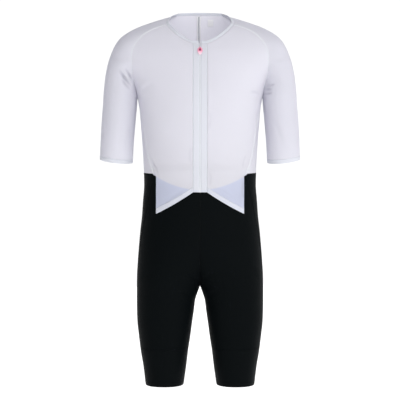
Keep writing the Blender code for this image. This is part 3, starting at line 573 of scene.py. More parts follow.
def ring(front, back, ridge, half_depth, drop, flatness, share):
    """An oval arc from a point on the front seam, over the ridge, to a point on the back seam.

    Where the two seam points meet, the arc closes to a whole oval. A flatness of 1 gives an oval,
    and 2 a low arch that leaves its ends at a slant.
    """
    middle = (front + back) / 2
    chord = front - back
    width = np.linalg.norm(chord) / 2
    across = np.array([0.0, -1.0, -drop]) if width < CLOSED_WIDTH else chord
    across = across / np.linalg.norm(across)
    outward = ridge - middle
    height = np.linalg.norm(outward)
    outward = outward / height
    spare = max(half_depth - width, 0) * (1 - smooth((flatness - 1) / DEEPENING))
    half_depth = width + spare
    sunk = math.sqrt(max(0.0, 1 - (width / half_depth) ** 2))
    centre = middle + outward * height * sunk / (1 + sunk)
    rise = height / (1 + sunk)
    start = math.asin(sunk)
    share = np.asarray(share)[:, None]
    even_turn = -start + (math.pi + 2 * start) * share
    even_reach = np.arccos(1 - 2 * share)
    angle = even_turn + (even_reach - even_turn) * (flatness - 1)
    height = np.sign(np.sin(angle)) * np.abs(np.sin(angle)) ** flatness
    return centre + half_depth * np.cos(angle) * across + rise * height * outward


def plain_row(row, share):
    """One ring of the sleeve: part of the raglan above the underarm, or whole on the tube."""
    if row < UNDERARM_ROW:
        front_x, front_z, back_x, back_z = raglan_row(row)
        ridge = np.array([RAGLAN.at(c, row) for c in ("ridge_x", "ridge_y", "ridge_z")])
        depth = float(RAGLAN.at("half_depth", row))
        front, back = front_at(front_x, front_z), back_at(back_x, back_z)
        return ring(front, back, ridge, depth, 0, 2 - smooth(row / OVAL_ROW), share)
    x, y, z, outer_x, outer_z, depth, drop = [float(TUBE.at(c, row)) for c in list(TUBE.columns)[1:]]
    under = np.array([x, y, z])
    return ring(under, under, np.array([outer_x, y, outer_z]), depth, drop, 1, share)


def sleeve_row(row, share):
    """The same ring, but with an even run past the underarm, away from the seam there."""
    share = np.asarray(share, float)
    exact = plain_row(row, share)
    start, end = EASE_ROWS
    if not start < row < end:
        return exact
    span = end - start
    above, below = plain_row(start, share), plain_row(end, share)
    fall_above = (above - plain_row(start - EASE_STEP, share)) * span / EASE_STEP
    fall_below = (plain_row(end + EASE_STEP, share) - below) * span / EASE_STEP
    t = (row - start) / span
    eased = above * (1 + 2 * t) * (1 - t) ** 2 + below * t * t * (3 - 2 * t)
    eased += fall_above * t * (1 - t) ** 2 - fall_below * t * t * (1 - t)
    return exact + (eased - exact) * smooth(np.minimum(share, 1 - share) / EASE_MARGIN)[:, None]


def sleeve_grid(rows):
    share = np.linspace(0, 1, SLEEVE_COLUMNS + 1)
    return np.array([sleeve_row(row, share) for row in rows])


def shorts_grid(back):
    """Left shorts front or back, from the middle seam and inseam to the side seam."""
    share = np.linspace(0, 1, (SHORTS_BACK_COLUMNS if back else SHORTS_FRONT_COLUMNS) + 1)
    rows = []
    for number, (z_front, z_back, z_side) in zip(SHORTS_NUMBERS, SHORTS_SPREAD):
        settled = smooth(number / LEVEL_ROWS)
        turn = float(side_angle(z_side))
        if back:
            z = z_back + (z_side - z_back) * share
            start = math.pi + cut_angle(z)
        else:
            bowed = (np.sin(turn * share) / math.sin(turn)) ** 2
            climb = bowed + (share - bowed) * settled
            z = z_front + (z_side - z_front) * climb
            start = -cut_angle(z)
        angle = start + (side_angle(z) - start) * share
        if back and number == 0:
            angle = math.pi + (side_angle(z_side) - math.pi) * share
        rows.append(section(z, angle))
    return np.array(rows)


def band_grid():
    """Left leg band: rings that start and end on the inseam."""
    front = np.linspace(0, 1, SHORTS_FRONT_COLUMNS + 1)
    back = np.linspace(0, 1, SHORTS_BACK_COLUMNS + 1)
    rows = []
    for z in np.linspace(BAND_TOP_Z, LEG_HEM_Z, BAND_ROWS + 1):
        inner, outer = math.pi / 2, float(side_angle(z))
        ahead = -inner + (outer + inner) * front
        behind = math.pi + inner + (outer - math.pi - inner) * back
        angle = np.concatenate([ahead, behind[::-1][1:]])
        rows.append(section(np.full(len(angle), z), angle))
    return np.array(rows)


def neck_loop(front, facing, sleeve, back):
    """The lower edge of the binding on the left half, and the way up along the cloth from it."""
    edges, ways = [], []
    for grid in (facing[:, :-1], front, sleeve[:, 1:-1], back[:, ::-1]):
        edges.append(grid[0])
        ways.append(grid[0] - grid[1])
    edge, way = np.concatenate(edges), np.concatenate(ways)
    along = np.gradient(edge, axis=0)
    along /= np.linalg.norm(along, axis=1)[:, None]
    way -= along * (way * along).sum(axis=1)[:, None]
    way /= np.linalg.norm(way, axis=1)[:, None]
    way[:, 2] += BINDING_STAND
    for _ in range(BINDING_ROUNDS):
        padded = np.concatenate([way[:1], way, way[-1:] * (-1, 1, 1)])
        way = (padded[:-2] + 2 * padded[1:-1] + padded[2:]) / 4
    return edge, way / np.linalg.norm(way, axis=1)[:, None]


def mirrored(points):
    return points * (-1, 1, 1)


def body_core(points):
    """Places inside the body that its cloth faces away from; the two below do it for leg and sleeve."""
    return points * BODY_CORE


def leg_core(points):
    side = np.sign(points[:, :1])
    return np.concatenate([side * LEG.at("middle", points[:, 2:]), 0 * side, points[:, 2:]], axis=1)


def sleeve_core(points):
    side = np.sign(points[:, :1])
    x, y, top = SLEEVE_CORE
    return np.concatenate([side * x, y + 0 * side, np.minimum(points[:, 2:], top)], axis=1)


def neck_binding_grid(front, facing, sleeve, back):
    """The binding all round the neck, from its left front end to its right one."""
    edge, way = neck_loop(front, facing, sleeve, back)
    left = np.stack([edge + way * (BINDING_HEIGHT * t) for t in np.linspace(0, 1, HEM_LINES)])
    return np.concatenate([left, mirrored(left)[:, ::-1][:, 1:]], axis=1)


class Cloth:
    """A sheet of cells on the form, which becomes a thin closed shell."""

    def __init__(self, grid, cells=None, core=body_core):
        rows, columns = grid.shape[:2]
        flat = grid.reshape(-1, 3)
        kept, index = np.unique(first_alike(flat), return_inverse=True)
        self.points = flat[kept]
        self.index = index.reshape(rows, columns)
        across = np.linalg.norm(np.diff(grid, axis=1), axis=2)
        down = np.linalg.norm(np.diff(grid, axis=0), axis=2)
        u = np.concatenate([np.zeros((rows, 1)), np.cumsum(across, axis=1)], axis=1)
        v = np.concatenate([np.zeros((1, columns)), np.cumsum(down, axis=0)], axis=0)
        self.map = np.stack([u, v], axis=-1) * MM
        self.reach = [float(u[:, -1].max()) * MM, float(v[-1].max()) * MM]
        keep = np.ones((rows - 1, columns - 1), bool) if cells is None else cells
        self.faces, self.places = (
            np.stack([data[:-1, :-1], data[1:, :-1], data[1:, 1:], data[:-1, 1:]], axis=2)[keep]
            for data in (self.index, self.map)
        )
        middle = self.points[self.faces].mean(axis=1)
        if (self.face_normals() * (middle - core(middle))).sum() < 0:
            self.faces, self.places = self.faces[:, ::-1], self.places[:, ::-1]
        self.rings = self.rings_from_edge()

    def face_normals(self):
        a, b, c, d = (self.points[self.faces[:, k]] for k in range(4))
        return np.cross(c - a, d - b)

    def corner_normals(self, k):
        """Outward directions at one corner of each cell, as long as that corner's angle."""
        here, ahead, behind = (self.points[self.faces[:, (k + step) % 4]] for step in (0, 1, 3))
        cross = np.cross(ahead - here, behind - here)
        size = np.maximum(np.linalg.norm(cross, axis=1), 1e-9)
        angle = np.arctan2(size, ((ahead - here) * (behind - here)).sum(axis=1))
        return cross * (angle / size)[:, None]

    def area(self):
        return float(np.linalg.norm(self.face_normals(), axis=1).sum()) / 2 * MM * MM

    def rims(self):
        """The open edges as start and end points, with the places of both on the map."""
        ends = np.concatenate([self.faces[:, [k, (k + 1) % 4]] for k in range(4)])
        marks = np.concatenate([self.places[:, [k, (k + 1) % 4]] for k in range(4)])
        keys = np.sort(ends, axis=1)
        _, first, count = np.unique(keys, axis=0, return_index=True, return_counts=True)
        alone = first[count == 1]
        return ends[alone], marks[alone]

    def rings_from_edge(self):
        """For each point, 0 on an open edge, 1 beside one, and 2 further in."""
        rings = np.full(len(self.points), 2)
        ends, _ = self.rims()
        rings[ends] = 0
        near = (rings[self.faces] == 0).any(axis=1)
        beside = np.unique(self.faces[near])
        rings[beside[rings[beside] == 2]] = 1
        return rings

    def shell(self, normals, out, thick):
        """Points, faces and map of the closed shell, rounded off along its open edges."""
        full = EDGE_SHARES[self.rings][:, None] * thick / 2
        middle = self.points + normals * (out - thick / 2)
        count = len(self.points)
        points = np.concatenate([middle + normals * full, middle - normals * full])
        ends, marks = self.rims()
        rim = np.stack([ends[:, 1], ends[:, 0], ends[:, 0] + count, ends[:, 1] + count], axis=1)
        rim_marks = marks[:, [1, 0, 0, 1]]
        faces = np.concatenate([self.faces, self.faces[:, ::-1] + count, rim])
        places = np.concatenate([self.places, self.places[:, ::-1], rim_marks])
        return points, faces, places


def first_alike(points):
    """For each point, the number of the first point that lies at the same place."""
    keys = np.round(points / SAME_PLACE).astype(np.int64)
    _, first, back = np.unique(keys, axis=0, return_index=True, return_inverse=True)
    return first[back.ravel()]


def shared_normals(cloths):
    """One outward direction at each point, the same for all the pieces that meet there."""
    every = np.concatenate([cloth.points for cloth in cloths])
    tree = KDTree(len(every))
    for number, point in enumerate(every):
        tree.insert(point, number)
    tree.balance()
    on_edge = np.concatenate([cloth.rings == 0 for cloth in cloths])
    alike = np.arange(len(every))
    for number in np.flatnonzero(on_edge):
        alike[number] = min(n for _, n, _ in tree.find_range(every[number], MEETING))
    total = np.zeros((len(every), 3))
    start = 0
    for cloth in cloths:
        place = alike[start : start + len(cloth.points)]
        for k in range(4):
            np.add.at(total, place[cloth.faces[:, k]], cloth.corner_normals(k))
        start += len(cloth.points)
    total = total[alike]
    total /= np.maximum(np.linalg.norm(total, axis=1), 1e-9)[:, None]
    ends = np.cumsum([len(cloth.points) for cloth in cloths])
    return np.split(total, ends[:-1])


# --- creases ---------------------------------------------------------------------------------

CREASE_POINTS = 24
CREASE_REACH = 4  # widths of a crease beyond which it moves nothing
RIDGE_AT = 1.9  # widths from the middle of a trough to the ridge beside it
SOFT_LEAN = 0.35  # height of the ridge as a share of the depth
RIDGE_SIDE = 0.25  # how much higher it is on one side and lower on the other
END_FADE = 0.8  # exponent of the fade towards both ends
WAVE, WAVE_TURNS, WAVE_SHIFT = 0.25, 7.3, 13  # a crease swells and ebbs along its length


def on_front(side, *places):
    return [front_at(x, z) * (side, 1, 1) for x, z in places]


def on_back(side, *places):
    return [back_at(x, z) * (side, 1, 1) for x, z in places]


def on_leg(side, *places):
    """Places by height and degrees round the section, 0 in front and 90 at the outer side."""
    return [section(np.array(z, float), math.radians(turn)) * (side, 1, 1) for z, turn in places]


def on_sleeve(side, *places):
    """Places by row and share of the ring, 0 at the front seam or underarm and 1 at the back one."""
    return [sleeve_row(row, [share])[0] * (side, 1, 1) for row, share in places]


def crease(places, depth, width, lean=SOFT_LEAN):
    """A soft trough along the places, with a low ridge beside it."""
    return np.array(places), depth, width, lean


def curve_through(points):
    """A smooth curve through a few points."""
    points = np.asarray(points, float)
    steps = run_length(points)
    between = np.interp if len(points) < 3 else monotone
    return columns_at(np.linspace(0, steps[-1], CREASE_POINTS), steps, points, between)


def creased(points, normals, creases):
    """How far each point moves out along its normal."""
    moved = np.zeros(len(points))
    for places, depth, width, lean in creases:
        line = curve_through(places)
        reach = CREASE_REACH * width
        inside = (points > line.min(axis=0) - reach) & (points < line.max(axis=0) + reach)
        near = np.flatnonzero(inside.all(axis=1))
        if not len(near):
            continue
        a, b = line[:-1], line[1:]
        way = b - a
        gap = points[near][:, None] - a[None]
        share = np.clip((gap * way).sum(axis=2) / (way * way).sum(axis=1), 0, 1)
        off = gap - way * share[..., None]
        away = np.linalg.norm(off, axis=2)
        best = away.argmin(axis=1)
        rows = np.arange(len(near))
        along = (best + share[rows, best]) / (len(line) - 1)
        away = away[rows, best] / width
        side = np.sign((np.cross(way[best], off[rows, best]) * normals[near]).sum(axis=1))
        fade = np.sin(np.pi * np.clip(along, 0, 1)) ** END_FADE
        fade *= 1 + WAVE * np.sin(WAVE_TURNS * along + WAVE_SHIFT * width)
        trough = np.exp(-(away**2))
        ridge = np.exp(-((away - RIDGE_AT) ** 2)) * (lean + RIDGE_SIDE * side)
        moved[near] += depth * fade * (ridge - trough)
    return moved


# --- meshes ----------------------------------------------------------------------------------

RIBBON_EDGE = 0.05  # how deep the edges of a strip lie in the cloth
RIBBON_PITCH, RIBBON_ACROSS = 2.5, 8  # length of its cells, and their number across it
STITCH_SIDES = 4
# One stitch, as long as 1: place along it, size and height of each ring. It dips at both ends.
STITCH_RINGS = ((-0.5, 0.35, -0.9), (-0.32, 0.9, 0.1), (0, 1, 0.45), (0.32, 0.9, 0.1), (0.5, 0.35, -0.9))


def make_object(name, points, faces, finish, places=None, body="suit", slot=None, shades=None):
    """An object in metres from points in millimetres, riding on a body of the frame."""
    mesh = bpy.data.meshes.new(name)
    mesh.from_pydata((np.asarray(points) * MM).tolist(), [], [list(map(int, f)) for f in faces])
    if places is not None:
        layer = mesh.uv_layers.new(name="Cloth")
        layer.data.foreach_set("uv", np.asarray(places, float).ravel())
    for key, values in (shades or {}).items():
        mesh.attributes.new(key, "FLOAT", "POINT").data.foreach_set("value", values)
    mesh.materials.append(finish)
    mesh.shade_smooth()
    made = bpy.data.objects.new(name, mesh)
    bpy.context.scene.collection.objects.link(made)
    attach(made, body)
    return made


def unit(ways):
    return ways / np.maximum(np.linalg.norm(ways, axis=-1, keepdims=True), 1e-9)


def evened(line, normals, pitch):
    """The line and its normals at even steps of about the pitch."""
    steps = run_length(line)
    at = np.linspace(0, steps[-1], max(2, int(round(steps[-1] / pitch)) + 1))
    return columns_at(at, steps, line), unit(columns_at(at, steps, normals))


def frames(line, normals):
    """Along and sideways directions at each point of a line on the cloth."""
    along = unit(np.gradient(line, axis=0))
    side = unit(np.cross(normals, along))
    return along, side, unit(np.cross(along, side))


def ribbon(line, normals, half, rise, sunk=0.4):
    """A low domed strip along a seam: points, faces and map."""
    line, normals = evened(line, normals, RIBBON_PITCH)
    _, side, up = frames(line, normals)
    share = np.linspace(-1, 1, RIBBON_ACROSS + 1)
    dome = rise * (1 - np.abs(share) ** 3) - RIBBON_EDGE
    top = line[:, None] + side[:, None] * (half * share)[:, None] + up[:, None] * dome[:, None]
    low = line[:, None] + side[:, None] * (half * share[::-1])[:, None] - up[:, None] * sunk
    ring = np.concatenate([top, low], axis=1)
    rows, columns = ring.shape[:2]
    index = np.arange(rows * columns).reshape(rows, columns)
    turned = np.roll(index, -1, axis=1)
    faces = np.stack([index[:-1], turned[:-1], turned[1:], index[1:]], axis=-1).reshape(-1, 4)
    length = run_length(line) * MM
    reach = np.concatenate([share, share[::-1]]) * half * MM
    far = np.append(reach[1:], reach[0])
    marks = np.empty((rows - 1, columns, 4, 2))
    marks[:, :, (0, 3), 0] = reach[None, :, None]
    marks[:, :, (1, 2), 0] = far[None, :, None]
    marks[:, :, (0, 1), 1] = length[:-1, None, None]
    marks[:, :, (2, 3), 1] = length[1:, None, None]
    ends = [index[0][::-1].tolist(), index[-1].tolist()]
    places = np.concatenate([marks.reshape(-1, 2), [(0, 0)] * columns, [(0, length[-1])] * columns])
    return ring.reshape(-1, 3), faces.tolist() + ends, places


def add_ribbon(name, line, normals, half, rise, finish, slot):
    points, faces, places = ribbon(line, normals, half, rise)
    return make_object(name, points, faces, finish, places, slot=slot)


def stitch_shape():
    """One stitch as long as 1 along X: a thin bar."""
    turn = np.arange(STITCH_SIDES) * 2 * math.pi / STITCH_SIDES
    rings = [
        np.stack([np.full(STITCH_SIDES, x), size * np.cos(turn), size * np.sin(turn) + height], axis=1)
        for x, size, height in STITCH_RINGS
    ]
    faces = []
    for ring in range(len(rings) - 1):
        for k in range(STITCH_SIDES):
            a, b = ring * STITCH_SIDES + k, ring * STITCH_SIDES + (k + 1) % STITCH_SIDES
            faces.append((a, b, b + STITCH_SIDES, a + STITCH_SIDES))
    last = (len(rings) - 1) * STITCH_SIDES
    faces += [tuple(reversed(range(STITCH_SIDES))), tuple(range(last, last + STITCH_SIDES))]
    return np.concatenate(rings), faces


STITCH_POINTS, STITCH_FACES = stitch_shape()


def repeated(shape, middle, run, wide, up):
    """The stitch's shape at each middle, along its own three directions: points and faces."""
    points = (
        middle[:, None]
        + run[:, None] * shape[..., :1]
        + wide[:, None] * shape[..., 1:2]
        + up[:, None] * shape[..., 2:]
    )
    count = len(STITCH_POINTS)
    faces = [tuple(v + k * count for v in face) for k in range(len(middle)) for face in STITCH_FACES]
    return points.reshape(-1, 3), faces


def stitch_row(line, normals, aside, pitch, fill=0.72, radius=0.22, slant=0.0, lift=0.1):
    """A row of stitches beside a line: points and faces. slant turns every one to the same side."""
    line, normals = evened(line, normals, pitch)
    along, side, up = frames(line, normals)
    middle = (line[:-1] + line[1:]) / 2 + side[:-1] * aside + up[:-1] * lift
    run = unit(along[:-1] * math.cos(slant) + side[:-1] * math.sin(slant))
    length = np.linalg.norm(np.diff(line, axis=0), axis=1) * fill / math.cos(slant)
    sizes = np.stack([length, np.full(len(length), radius), np.full(len(length), radius)], axis=1)
    return repeated(STITCH_POINTS * sizes[:, None], middle, run, unit(np.cross(up[:-1], run)), up[:-1])


def add_stitches(name, rows, finish, slot):
    """Several rows of stitches as one object."""
    points, faces, start = [], [], 0
    for row_points, row_faces in rows:
        points.append(row_points)
        faces += [tuple(v + start for v in face) for face in row_faces]
        start += len(row_points)
    return make_object(name, np.concatenate(points), faces, finish, slot=slot)


# --- materials -------------------------------------------------------------------------------

# A knit: pitch of its rows as a share of that of its columns, how far a row shifts its loops, how
# deep it is beside them, and what brings the height to between 0 and 1.
ROW_PITCH, ROW_SHIFT, ROW_DEPTH, KNIT_LEVEL = 0.8, 0.5, 0.5, 0.33
KNIT_DEPTH, FINE_DEPTH = 0.0003, 0.0001  # relief of a knit, and of threads and hard pieces, in metres
KNIT_GLOSS = (-0.1, 0.05)  # how roughness changes with the height of the loops, and where it starts
SPECK_GLOSS = (0.15, -0.07)  # the same for the specks of hard pieces
SPECK_SCALE, SPECK_SHARE = 420.0, 0.5
TWIST_SCALE = 900.0  # of a thread
CLOUD_SCALE, CLOUD_SHARE, CLOUD_TONE = 9.0, 0.1, 0.8  # soft uneven tone: how fine, how much, how dark
# Tints of the sheen, by the sort of cloth.
MESH_SHEEN, TRIM_SHEEN = (0.9, 0.92, 1), (0.95, 0.97, 1)
BLACK_SHEEN, BAND_SHEEN = (0.5, 0.62, 0.75), (0.5, 0.6, 0.75)


class Nodes:
    """Short-hand for building the nodes of a material, or of the room's light."""

    def __init__(self, owner, output="OutputMaterial"):
        owner.use_nodes = True
        self.owner, self.tree = owner, owner.node_tree
        self.tree.nodes.clear()
        self.out = self.add(output)

    def set(self, socket, value):
        if isinstance(value, bpy.types.NodeSocket):
            self.tree.links.new(value, socket)
        else:
            socket.default_value = value

    def add(self, kind, inputs=None, **settings):
        made = self.tree.nodes.new("ShaderNode" + kind)
        for key, value in settings.items():
            setattr(made, key, value)
        for key, value in (inputs or {}).items():
            self.set(made.inputs[key], value)
        return made

    def math(self, operation, *values, clamp=False):
        inputs = dict(enumerate(values))
        return self.add("Math", inputs, operation=operation, use_clamp=clamp).outputs[0]

    def mix(self, share, first, second):
        return self.add("Mix", {0: share, 6: first, 7: second}, data_type="RGBA").outputs[2]

    def bump(self, strength, distance, height):
        inputs = {"Strength": strength, "Distance": distance, "Height": height}
        return self.add("Bump", inputs).outputs["Normal"]

    def surface(self, tone, rough, normal=None, **sockets):
        inputs = {"Base Color": tone, "Roughness": rough}
        inputs.update({key.replace("_", " "): value for key, value in sockets.items()})
        if normal:
            inputs["Normal"] = normal
        return self.add("BsdfPrincipled", inputs).outputs["BSDF"]

    def close(self, shader):
        self.set(self.out.inputs["Surface"], shader)
        return self.owner


def material(name):
    return Nodes(bpy.data.materials.new(name))


def colour(red, green, blue):
    return (red, green, blue, 1)


def knit_height(n, pitch):
    """Height of a fine knit from the cloth's own map: columns of loops, each row shifted a little."""
    place = n.add("UVMap", uv_map="Cloth").outputs["UV"]
    parts = n.add("SeparateXYZ", {0: place}).outputs
    across = n.math("MULTIPLY", parts["X"], 2 * math.pi / pitch)
    down = n.math("MULTIPLY", parts["Y"], 2 * math.pi / (pitch * ROW_PITCH))
    row = n.math("SINE", down)
    column = n.math("SINE", n.math("ADD", across, n.math("MULTIPLY", row, ROW_SHIFT)))
    deep = n.math("ADD", n.math("MULTIPLY", row, ROW_DEPTH), 1.0)
    return n.math("MULTIPLY", n.math("MULTIPLY", n.math("ADD", column, 1.0), deep), KNIT_LEVEL)


def cloudy(n, scale, detail=2.0):
    place = n.add("TexCoord").outputs["Object"]
    inputs = {"Vector": place, "Scale": scale, "Detail": detail, "Roughness": 0.5}
    return n.add("TexNoise", inputs).outputs["Fac"]


def cloth_material(
    name, light, dark, rough, pitch, bump, sheen=0.0, tint=(1, 1, 1), see=0.0, gloss=0.3, **painted_shades
):
    """A knit: loops in colour and height, soft uneven tone, and light that comes through.

    Painted shades are colours by the name of the attribute that says how much of each shows: shade in the
    troughs of creases, and where the dark shorts show through the sheer front.
    """
    n = material(name)
    height = knit_height(n, pitch)
    tone = n.mix(height, colour(*dark), colour(*light))
    cloud = n.math("MULTIPLY", cloudy(n, CLOUD_SCALE), CLOUD_SHARE)
    tone = n.mix(cloud, tone, colour(*[c * CLOUD_TONE for c in light]))
    # Mix in each painted shade by its attribute.
    for key, painted_shade in painted_shades.items():
        shown = n.add("Attribute", attribute_name=key).outputs["Fac"]
        shown = n.math("MULTIPLY", shown, CREASE_SHADE_SHARE) if key == "fold" else shown
        tone = n.mix(shown, tone, colour(*painted_shade))
    normal = n.bump(bump, KNIT_DEPTH, height)
    slope, base = KNIT_GLOSS
    roughness = n.math("ADD", n.math("MULTIPLY", height, slope), rough + base)
    sheen = {"Sheen Weight": sheen, "Sheen Roughness": 0.5, "Sheen Tint": colour(*tint)}
    shader = n.surface(tone, roughness, normal, Specular_IOR_Level=gloss, **sheen)
    if see:
        through = n.add("BsdfTranslucent", {"Color": tone, "Normal": normal}).outputs["BSDF"]
        shader = n.add("MixShader", {0: see, 1: shader, 2: through}).outputs[0]
    return n.close(shader)


def thread_material(name, base, shade):
    n = material(name)
    place = n.add("TexCoord").outputs["Object"]
    wave = {"Vector": place, "Scale": TWIST_SCALE, "Distortion": 1.0}
    twist = n.add("TexWave", wave, bands_direction="DIAGONAL").outputs["Fac"]
    tone = n.mix(twist, colour(*base), colour(*shade))
    return n.close(n.surface(tone, 0.6, n.bump(0.3, FINE_DEPTH, twist), Specular_IOR_Level=0.15))


def hard_material(name, base, shade, rough, coat=0.0, pale=None):
    """Moulded plastic or painted metal with fine unevenness. pale colours the part below a height."""
    n = material(name)
    speck = cloudy(n, SPECK_SCALE, 3.0)
    tone = n.mix(n.math("MULTIPLY", speck, SPECK_SHARE), colour(*base), colour(*shade))
    if pale:
        start, length, end_colour = pale
        low = n.add("SeparateXYZ", {0: n.add("TexCoord").outputs["Object"]}).outputs["Z"]
        share = n.math("DIVIDE", n.math("SUBTRACT", start, low), length, clamp=True)
        tone = n.mix(share, tone, colour(*end_colour))
    slope, level = SPECK_GLOSS
    roughness = n.math("ADD", n.math("MULTIPLY", speck, slope), rough + level)
    return n.close(n.surface(tone, roughness, n.bump(0.15, FINE_DEPTH, speck), Coat_Weight=coat))


def floor_material():
    """Pale paint with a faint unevenness and a glow of its own."""
    n = material("floor_paint")
    tone = n.mix(cloudy(n, 3.0), colour(*FLOOR_PAINT), colour(*FLOOR_SHADE))
    return n.close(n.surface(tone, 0.8, Emission_Color=tone, Emission_Strength=FLOOR_GLOW))


SHEER_MESH = dict(rough=0.75, pitch=0.0016, bump=0.35, sheen=0.15, tint=MESH_SHEEN, see=SHEER)
FINISH = {
    # The front's mesh carries painted shade over the shorts and in the creases.
    "mesh": cloth_material("white_mesh", WHITE, WHITE_LOW, **SHEER_MESH, under=SHOW_THROUGH_SHADE, fold=CREASE_SHADE_TINT),
    # The sleeves: the same white mesh, darker all over with painted shade.
    "sleeve": cloth_material("white_mesh_shaded", SHADED_SLEEVE, SHADED_SLEEVE_LOW, **SHEER_MESH, fold=CREASE_SHADE_TINT),
    "trim": cloth_material(
        "white_trim", TRIM, TRIM_LOW, 0.65, 0.0012, 0.3, 0.1, TRIM_SHEEN, 0.25, under=TRIM_SHOW_THROUGH_SHADE
    ),
    "seam": cloth_material("white_seam", SEAM, SEAM_LOW, 0.6, 0.0009, 0.4, 0.1, TRIM_SHEEN, 0.25),
    "tape": cloth_material("tape", (0.98, 0.98, 0.99), (0.96, 0.96, 0.98), 0.7, 0.001, 0.4, 0.1, see=0.1),
    "grey_strip": cloth_material("grey_strip_cloth", (0.36, 0.37, 0.41), (0.30, 0.31, 0.35), 0.7, 0.0007, 0.4),
    "label": cloth_material(
        "label_patch", (0.97, 0.97, 0.97), (0.95, 0.95, 0.96), 0.5, 0.0005, 0.2, see=0.1
    ),
    "thread": thread_material("white_thread", (0.86, 0.87, 0.92), (0.74, 0.75, 0.82)),
    "black_thread": thread_material("black_thread", (0.0045, 0.0055, 0.0065), (0.002, 0.0025, 0.003)),
    "coil": hard_material("zip_coil", (0.74, 0.755, 0.80), (0.66, 0.675, 0.72), 0.5),
    "slider": hard_material("slider_paint", PULL, PULL_SHADE, 0.38, 0.2, SLIDER_LOW),
    "pull": hard_material("pull_pink", PULL, PULL_SHADE, 0.42, 0.25, PULL_PALE),
}
for key, name, *look, gloss in (
    ("black", "black_knit", 0.6, 0.0011, 0.35, 0.006, BLACK_SHEEN, 0.03),
    ("band", "black_band", 0.55, 0.0008, 0.3, 0.006, BAND_SHEEN, 0.03),
    ("black_seam", "black_seam", 0.6, 0.0007, 0.4, 0.003, BAND_SHEEN, 0.02),
):
    FINISH[key] = cloth_material(name, BLACK, BLACK_LOW, *look, gloss=gloss)


# --- the garment -----------------------------------------------------------------------------


def build_cloths():
    front, cells = front_grid()
    hem = hem_grid(front)
    facing = facing_grid(front, hem)
    back = back_grid()
    sleeve = sleeve_grid(SLEEVE_ROWS)
    made = {}
    for name, core, grid, *mask in (
        ("front", body_core, front, cells),
        ("hem_band", body_core, hem),
        ("zip_facing", body_core, facing),
        ("back", body_core, back),
        ("sleeve", sleeve_core, sleeve),
        ("cuff", sleeve_core, sleeve_grid(CUFF_ROWS)),
        ("shorts_front", leg_core, shorts_grid(False)),
        ("shorts_back", leg_core, shorts_grid(True)),
        ("leg_band", leg_core, band_grid()),
    ):
        made[name + "_left"] = Cloth(grid, *mask, core=core)
        made[name + "_right"] = Cloth(mirrored(grid), *mask, core=core)
    made["neck_binding"] = Cloth(neck_binding_grid(front, facing, sleeve, back))
    tape_z = back[:, 0, 2].copy()
    tape_z[0] -= TAPE_FROM_NECK
    tape_z[-1] += TAPE_FROM_WAIST
    label_z = np.linspace(*LABEL_HEIGHTS, LABEL_LINES)
    for name, edges, z, lines in (
        ("back_tape", TAPE_EDGES, tape_z, TAPE_LINES),
        ("neck_label", LABEL_EDGES, label_z, LABEL_LINES),
    ):
        across = np.linspace(*edges, lines)
        made[name] = Cloth(np.stack([back_at(x, z) for x in across], axis=1))
    return made


# Folds at the front of the underarm, by x and z: slanted on the right sleeve, level on the left one.
SLEEVE_FOLDS = (
    (3.2, 4.2, (-209, -132), (-194, -152), (-178, -173)),
    (2.6, 3.6, (-192, -128), (-183, -141), (-174, -156)),
    (2.2, 3.4, (-203, -155), (-192, -168), (-181, -180)),
    (2.2, 3.0, (168, -169), (180, -170), (193, -167)),
    (2.0, 2.8, (166, -179), (178, -181), (189, -180)),
    (1.6, 2.6, (166, -189), (176, -191), (186, -190)),
)
# Creases that both halves have.
PAIRED_CREASES = (
    # Long soft hollows down the outside and back of the sleeves.
    (on_sleeve, 1.8, 5.0, (8.6, 0.84), (9.6, 0.74), (11.5, 0.7)),
    (on_sleeve, 1.6, 3.6, (9.3, 0.93), (10.2, 0.86), (11.2, 0.85)),
    (on_sleeve, 1.3, 6.0, (7.2, 0.8), (8.2, 0.72), (9.0, 0.62)),
    (on_sleeve, 0.8, 6.0, (12.2, 0.12), (13.4, 0.2), (15.0, 0.23)),
    (on_sleeve, 0.7, 8.0, (11.6, 0.42), (13.0, 0.46), (14.8, 0.44)),
    (on_sleeve, 0.9, 6.5, (12.6, 0.66), (13.8, 0.6), (15.2, 0.62)),
    # The back: drag from the underarm, hollows beside the spine and over the waist.
    (on_back, 2.0, 7.0, (152, -190), (132, -170), (104, -158)),
    (on_back, 1.6, 8.0, (150, -205), (126, -200), (98, -204)),
    (on_back, 1.5, 9.0, (128, -300), (96, -306), (52, -300)),
    (on_back, 1.7, 8.0, (134, -352), (104, -350), (66, -358)),
    (on_back, 1.3, 7.0, (118, -384), (84, -378), (44, -384)),
    # Shorts behind: the fold under the seat, the inner thigh and the back of the knee.
    (on_leg, 2.4, 8.0, (-655, 214), (-668, 190), (-672, 166), (-662, 142)),
    (on_leg, 1.8, 6.0, (-690, 224), (-704, 200), (-708, 182)),
    (on_leg, 1.2, 7.0, (-738, 232), (-748, 208), (-750, 186)),
    (on_leg, 1.0, 8.0, (-800, 150), (-812, 178), (-806, 204)),
    # Shorts in front: short folds that run from the fork.
    (on_leg, 1.3, 5.0, (-676, -62), (-664, -40), (-646, -18)),
    (on_leg, 1.1, 5.5, (-718, -70), (-708, -44), (-694, -20)),
    (on_leg, 0.7, 9.0, (-640, 30), (-655, 46), (-676, 60)),
    (on_leg, 0.5, 9.0, (-790, -30), (-802, 0), (-798, 30)),
)
# Outline of the pad's stitching, which shows through at both sides of the fork: in front by x and z
# on each leg, and behind on both.
PAD_FRONTS = (
    (-1, ((33, -648), (52, -664), (59, -682), (55, -703), (38, -731), (24, -742))),
    (1, ((40, -650), (54, -672), (60, -695), (58, -714), (40, -733), (25, -740))),
)
PAD_BACK = ((-628, 190), (-655, 210), (-690, 222), (-730, 236))
PAD_DEPTHS, PAD_WIDTHS, PAD_LEAN = (0.9, 0.8), (2.4, 2.6), 0.5
